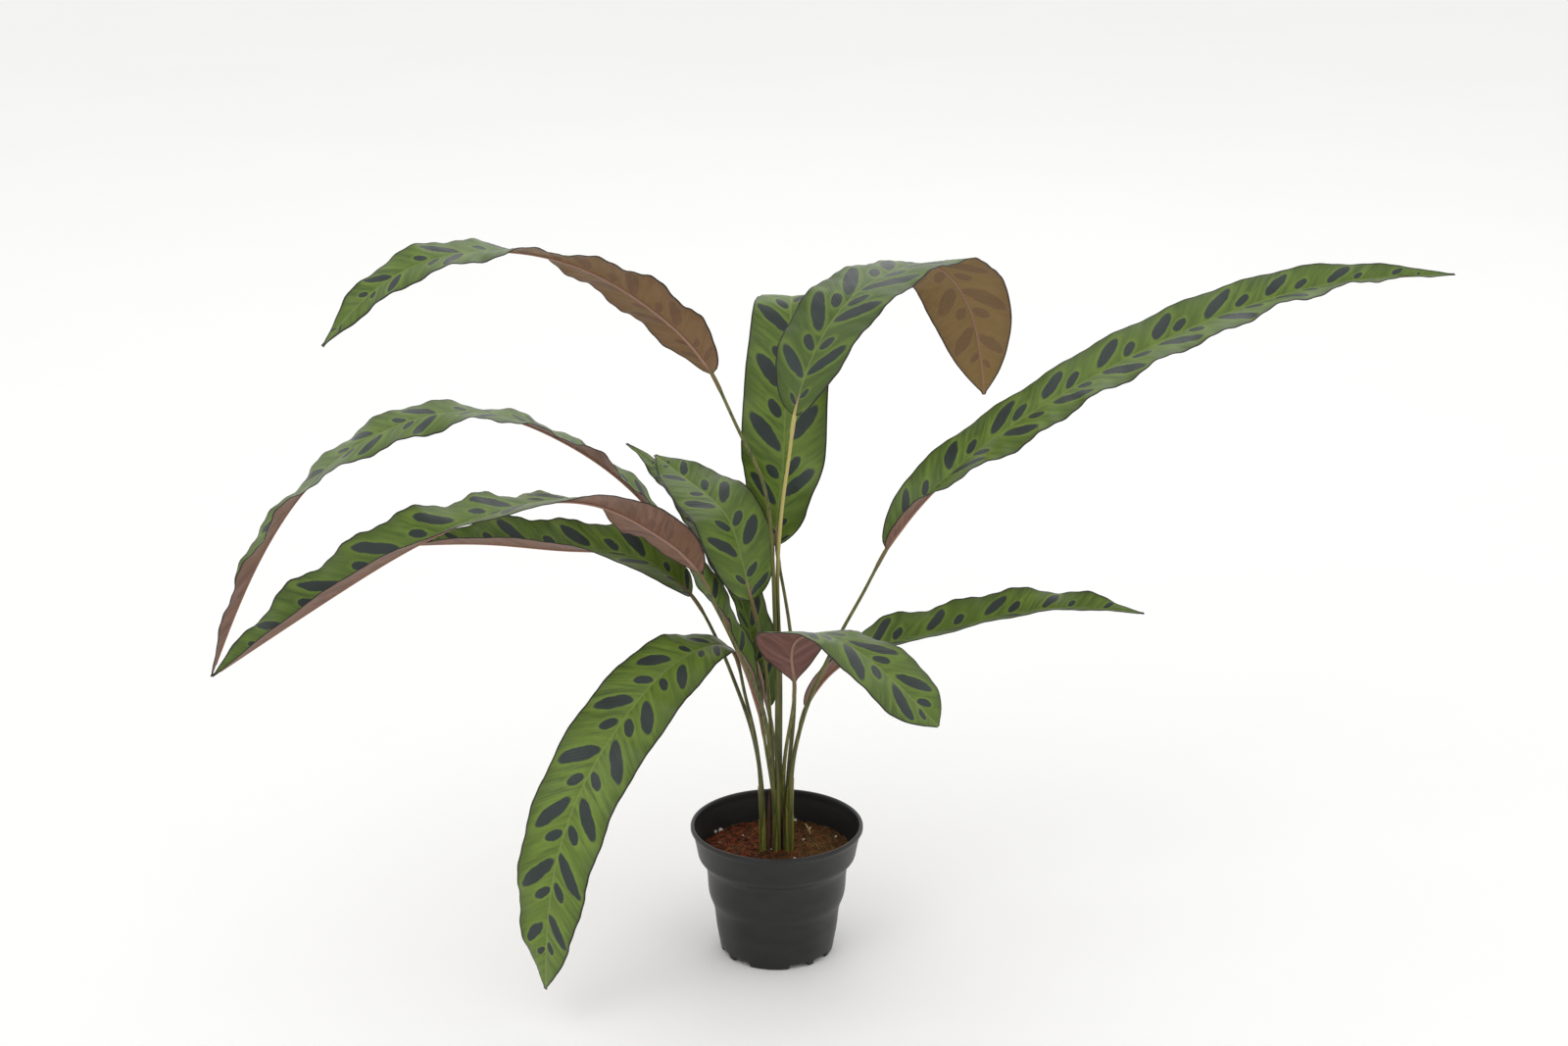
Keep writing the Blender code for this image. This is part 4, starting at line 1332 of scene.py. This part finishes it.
@dataclass(frozen=True)
class Soil:
    """The coir filling: a turned body with a rough top, with crumbs, fibres, perlite and a straw on it."""

    pot: Pot
    edge_height: float = 72.5
    corner: Span = (2.0, 1.4)
    crown: float = 1.5
    rings: int = 52
    turn_steps: int = 150
    clod_size: float = 9.0
    clod_height: float = 1.6
    clod_fade: float = 0.25
    seed_shift: tuple[float, float, float] = (3.1, 7.7, 0.0)
    crumb_size: float = 2.6
    crumb_height: float = 1.3
    fine_size: float = 1.1
    fine_height: float = 0.5
    crumbs: int = 520
    fibres: int = 620
    fibre_radius: float = 0.15
    fibre_sides: int = 4
    keep_inside: float = 1.2

    def top(self, x: float, y: float) -> float:
        """Work out the height of the soil's top.

        Args:
            x: place to the right.
            y: place to the back.

        Returns:
            The height of the surface there.
        """
        rim = self.pot.inner_radius(self.edge_height) - TOUCH_GAP
        share = min(1.0, math.hypot(x, y) / rim)
        inward = min(1.0, (1.0 - share) / self.clod_fade)
        height = self.edge_height + self.crown * (1.0 - share)
        spot = Vector((x, y, height))
        clods = noise.noise(spot / self.clod_size + Vector(self.seed_shift))
        crumbs = noise.noise(spot / self.crumb_size)
        fine = noise.noise(spot / self.fine_size)
        return height + inward * (self.clod_height * clods + self.crumb_height * crumbs
                                  + self.fine_height * fine)

    def build(self, material: bpy.types.Material) -> bpy.types.Object:
        """Turn the filling and roughen its top.

        Args:
            material: its finish.

        Returns:
            The piece, which stands for the packed soil.
        """
        floor = self.pot.floor_height + TOUCH_GAP
        bends = [height for _, height in self.pot.body if self.pot.inside_start < height < self.edge_height]
        heights = [floor + self.corner[1]] + bends + [self.edge_height]
        side = [(self.pot.inner_radius(height) - TOUCH_GAP, height) for height in heights]
        rim = side[-1][0]
        top = [(rim * (1.0 - ring / self.rings), self.edge_height) for ring in range(1, self.rings + 1)]
        outline = [(0.0, floor), (side[0][0] - self.corner[0], floor)] + side + top
        bm = bmesh.new()
        verts = [bm.verts.new((radius * MM, 0.0, height * MM)) for radius, height in outline]
        edges = [bm.edges.new(pair) for pair in zip(verts, verts[1:])]
        bmesh.ops.spin(bm, geom=verts + edges, axis=(0, 0, 1), cent=(0, 0, 0), dvec=(0, 0, 0),
                       angle=2.0 * math.pi, steps=self.turn_steps, use_merge=True)
        close_seams(bm)
        for vert in bm.verts:
            if vert.co.z > (self.edge_height - TOUCH_GAP) * MM:
                vert.co.z = self.top(vert.co.x / MM, vert.co.y / MM) * MM
        piece = add_piece("coir_soil", bm, [material])
        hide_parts("soil")
        return piece

    def spot(self, draw: random.Random, reach: float) -> Vector:
        """Draw an even random place on the soil, at most this far from the middle."""
        radius = reach * math.sqrt(draw.random())
        turn = draw.uniform(0.0, 2.0 * math.pi)
        x, y = radius * math.cos(turn), radius * math.sin(turn)
        return Vector((x, y, self.top(x, y)))

    def reach(self) -> float:
        """How far from the middle loose pieces may lie."""
        return self.pot.inner_radius(self.edge_height) - self.keep_inside

    def build_crumbs(self, material: bpy.types.Material) -> bpy.types.Object:
        """Scatter crumbs of coir pith over the soil.

        Args:
            material: their finish.

        Returns:
            The piece with all the crumbs.
        """
        draw = random.Random(SEED)
        bm = bmesh.new()
        for _ in range(self.crumbs):
            size = draw.uniform(0.5, 1.5)
            spot = self.spot(draw, self.reach() - size)
            turn = Euler([draw.uniform(0.0, math.pi) for _ in range(3)]).to_matrix().to_4x4()
            flat = Matrix.Diagonal((1.0, draw.uniform(0.6, 1.0), draw.uniform(0.4, 0.8), 1.0))
            place = Matrix.Translation(spot * MM) @ turn @ flat
            bmesh.ops.create_icosphere(bm, subdivisions=1, radius=size * MM, matrix=place)
        return add_piece("coir_crumbs", bm, [material])

    def build_fibres(self, material: bpy.types.Material) -> bpy.types.Object:
        """Lay coir fibres over the soil, each a thin curved thread.

        Args:
            material: their finish.

        Returns:
            The piece with all the fibres.
        """
        draw = random.Random(SEED + 1)
        bm = bmesh.new()
        own = bm.verts.layers.float_vector.new("tone")
        for _ in range(self.fibres):
            start = self.spot(draw, self.reach())
            length = draw.uniform(4.0, 15.0)
            heading = draw.uniform(0.0, 2.0 * math.pi)
            bend = draw.uniform(-1.6, 1.6)
            rise = draw.uniform(0.1, 1.3)
            centres = [(start.x, start.y, self.top(start.x, start.y))]
            for step in range(1, 6):
                way = heading + bend * step / 5.0
                x = centres[-1][0] + length / 5.0 * math.cos(way)
                y = centres[-1][1] + length / 5.0 * math.sin(way)
                inward = min(1.0, self.reach() / max(math.hypot(x, y), 1.0))
                x, y = x * inward, y * inward
                centres.append((x, y, self.top(x, y) + 0.2 + rise * math.sin(math.pi * step / 5.0)))
            radii = np.full(6, self.fibre_radius * draw.uniform(0.6, 1.3))
            tone = (draw.random(), 1.0 if draw.random() < (0.34 if start.x < 0.0 else 0.08) else 0.0, 0.0)
            for verts in bend_grid(bm, rings_along(np.array(centres), radii, self.fibre_sides)):
                for vert in verts:
                    vert[own] = tone
        close_seams(bm)
        return add_piece("coir_fibres", bm, [material])

    def build_perlite(self, material: bpy.types.Material) -> bpy.types.Object:
        """Set the white perlite crumbs, the ones against the wall and a few in the soil.

        Args:
            material: their finish.

        Returns:
            The piece with all the crumbs.
        """
        draw = random.Random(SEED + 2)
        spots = [((-43.5, 31.0), 1.3), ((-40.0, 33.5), 1.6), ((13.0, 51.0), 1.2), ((2.0, 46.0), 0.9)]
        spots += [((spot.x, spot.y), draw.uniform(0.5, 1.0))
                  for spot in [self.spot(draw, self.reach() - 2.0) for _ in range(9)]]
        bm = bmesh.new()
        for (x, y), size in spots:
            place = Matrix.Translation(Vector((x, y, self.top(x, y) + 0.5 * size)) * MM)
            made = bmesh.ops.create_icosphere(bm, subdivisions=2, radius=size * MM, matrix=place)["verts"]
            for vert in made:
                vert.co += (vert.co - place.translation) * 0.5 * noise.noise(vert.co / MM)
        return add_piece("perlite_crumbs", bm, [material])

    def build_straw(self, material: bpy.types.Material) -> bpy.types.Object:
        """Stand the pale fleck of straw in the soil."""
        foot = np.array((24.0, 27.0, self.top(24.0, 27.0) - 1.0))
        tip = foot + (-4.0, 5.0, 6.5)
        centres = np.linspace(foot, tip, 6)
        centres[:, 0] += 0.5 * np.sin(np.linspace(0.0, math.pi, 6))
        bm = bmesh.new()
        bend_grid(bm, rings_along(centres, np.array((0.5, 0.55, 0.55, 0.5, 0.45, 0.3)), 8))
        close_seams(bm)
        return add_piece("straw_fleck", bm, [material])


@dataclass(frozen=True)
class Studio:
    """Pale floor, soft light and the camera at the photograph's viewing angle, in metres."""

    floor_size: float = 14.0
    world_strength: float = 0.95
    camera_place: tuple[float, float, float] = (0.005, -1.939, 0.981)
    camera_down: float = 18.96
    lens: float = 70.0
    sensor: float = 36.0
    aim: tuple[float, float, float] = (0.0, 0.0, 0.3)
    lamps: tuple[tuple[str, tuple[float, float, float], float, float], ...] = (
        ("key_light", (-1.3, -1.6, 2.3), 1.6, 10.0),
        ("fill_light", (1.8, -1.4, 1.5), 1.8, 3.0),
        ("back_light", (0.3, 1.8, 2.2), 1.6, 7.0),
    )

    def build(self) -> None:
        """Lay the floor, light it and set the camera."""
        bm = bmesh.new()
        bmesh.ops.create_grid(bm, x_segments=1, y_segments=1, size=self.floor_size / 2.0)
        mesh = bpy.data.meshes.new("floor")
        bm.to_mesh(mesh)
        bm.free()
        mesh.materials.append(FLOOR_PAINT.material())
        floor = bpy.data.objects.new("floor", mesh)
        bpy.context.scene.collection.objects.link(floor)
        self.light()
        self.set_camera()

    def light(self) -> None:
        """Light the scene with an even white world and large soft lamps."""
        world = bpy.data.worlds.new("studio")
        world.use_nodes = True
        background = world.node_tree.nodes["Background"]
        background.inputs["Color"].default_value = linear("#ffffff")
        background.inputs["Strength"].default_value = self.world_strength
        bpy.context.scene.world = world
        for name, place, size, power in self.lamps:
            data = bpy.data.lights.new(name, "AREA")
            data.shape = "DISK"
            data.size = size
            data.energy = power
            lamp = bpy.data.objects.new(name, data)
            lamp.location = place
            towards = Vector(self.aim) - Vector(place)
            lamp.rotation_euler = towards.to_track_quat("-Z", "Y").to_euler()
            bpy.context.scene.collection.objects.link(lamp)

    def set_camera(self) -> None:
        """Set the camera that the photograph was taken with."""
        data = bpy.data.cameras.new("camera")
        data.lens = self.lens
        data.sensor_width = self.sensor
        camera = bpy.data.objects.new("camera", data)
        camera.location = self.camera_place
        camera.rotation_euler = (math.radians(90.0 - self.camera_down), 0.0, 0.0)
        bpy.context.scene.collection.objects.link(camera)
        bpy.context.scene.camera = camera


@dataclass(frozen=True)
class Plant:
    """All the leaves with their stalks, and the sheaths round their feet."""

    foot: float = 44.8

    def build(self) -> None:
        """Build each leaf, then the sheaths and the dried strips."""
        skins = [UPPER_SKIN.material(), LOWER_SKIN.material()]
        stalk_material = STALK.material()
        for number, leaf in enumerate(LEAVES):
            Blade(leaf, number).build(self.foot, skins)
            Stalk(leaf, number).build(self.foot, stalk_material)
        sheath_material = SHEATH.material()
        for number, sheath in enumerate(SHEATHS):
            sheath.build(number, sheath_material)
        dry_material = DRY_SHEATH.material()
        for number, strip in enumerate(DRY_STRIPS):
            strip.build(number, dry_material)


def main() -> None:
    """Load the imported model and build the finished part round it."""
    logging.basicConfig(level=logging.INFO, format="%(message)s")
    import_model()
    bpy.context.scene.view_settings.view_transform = "Standard"
    Studio().build()
    pot = Pot()
    pot.build(POT_PLASTIC.material())
    soil = Soil(pot)
    coir = COIR.material()
    soil.build(coir)
    soil.build_crumbs(coir)
    soil.build_fibres(FIBRE.material())
    soil.build_perlite(PERLITE.material())
    soil.build_straw(STRAW.material())
    Plant().build()


if __name__ == "__main__":
    main()
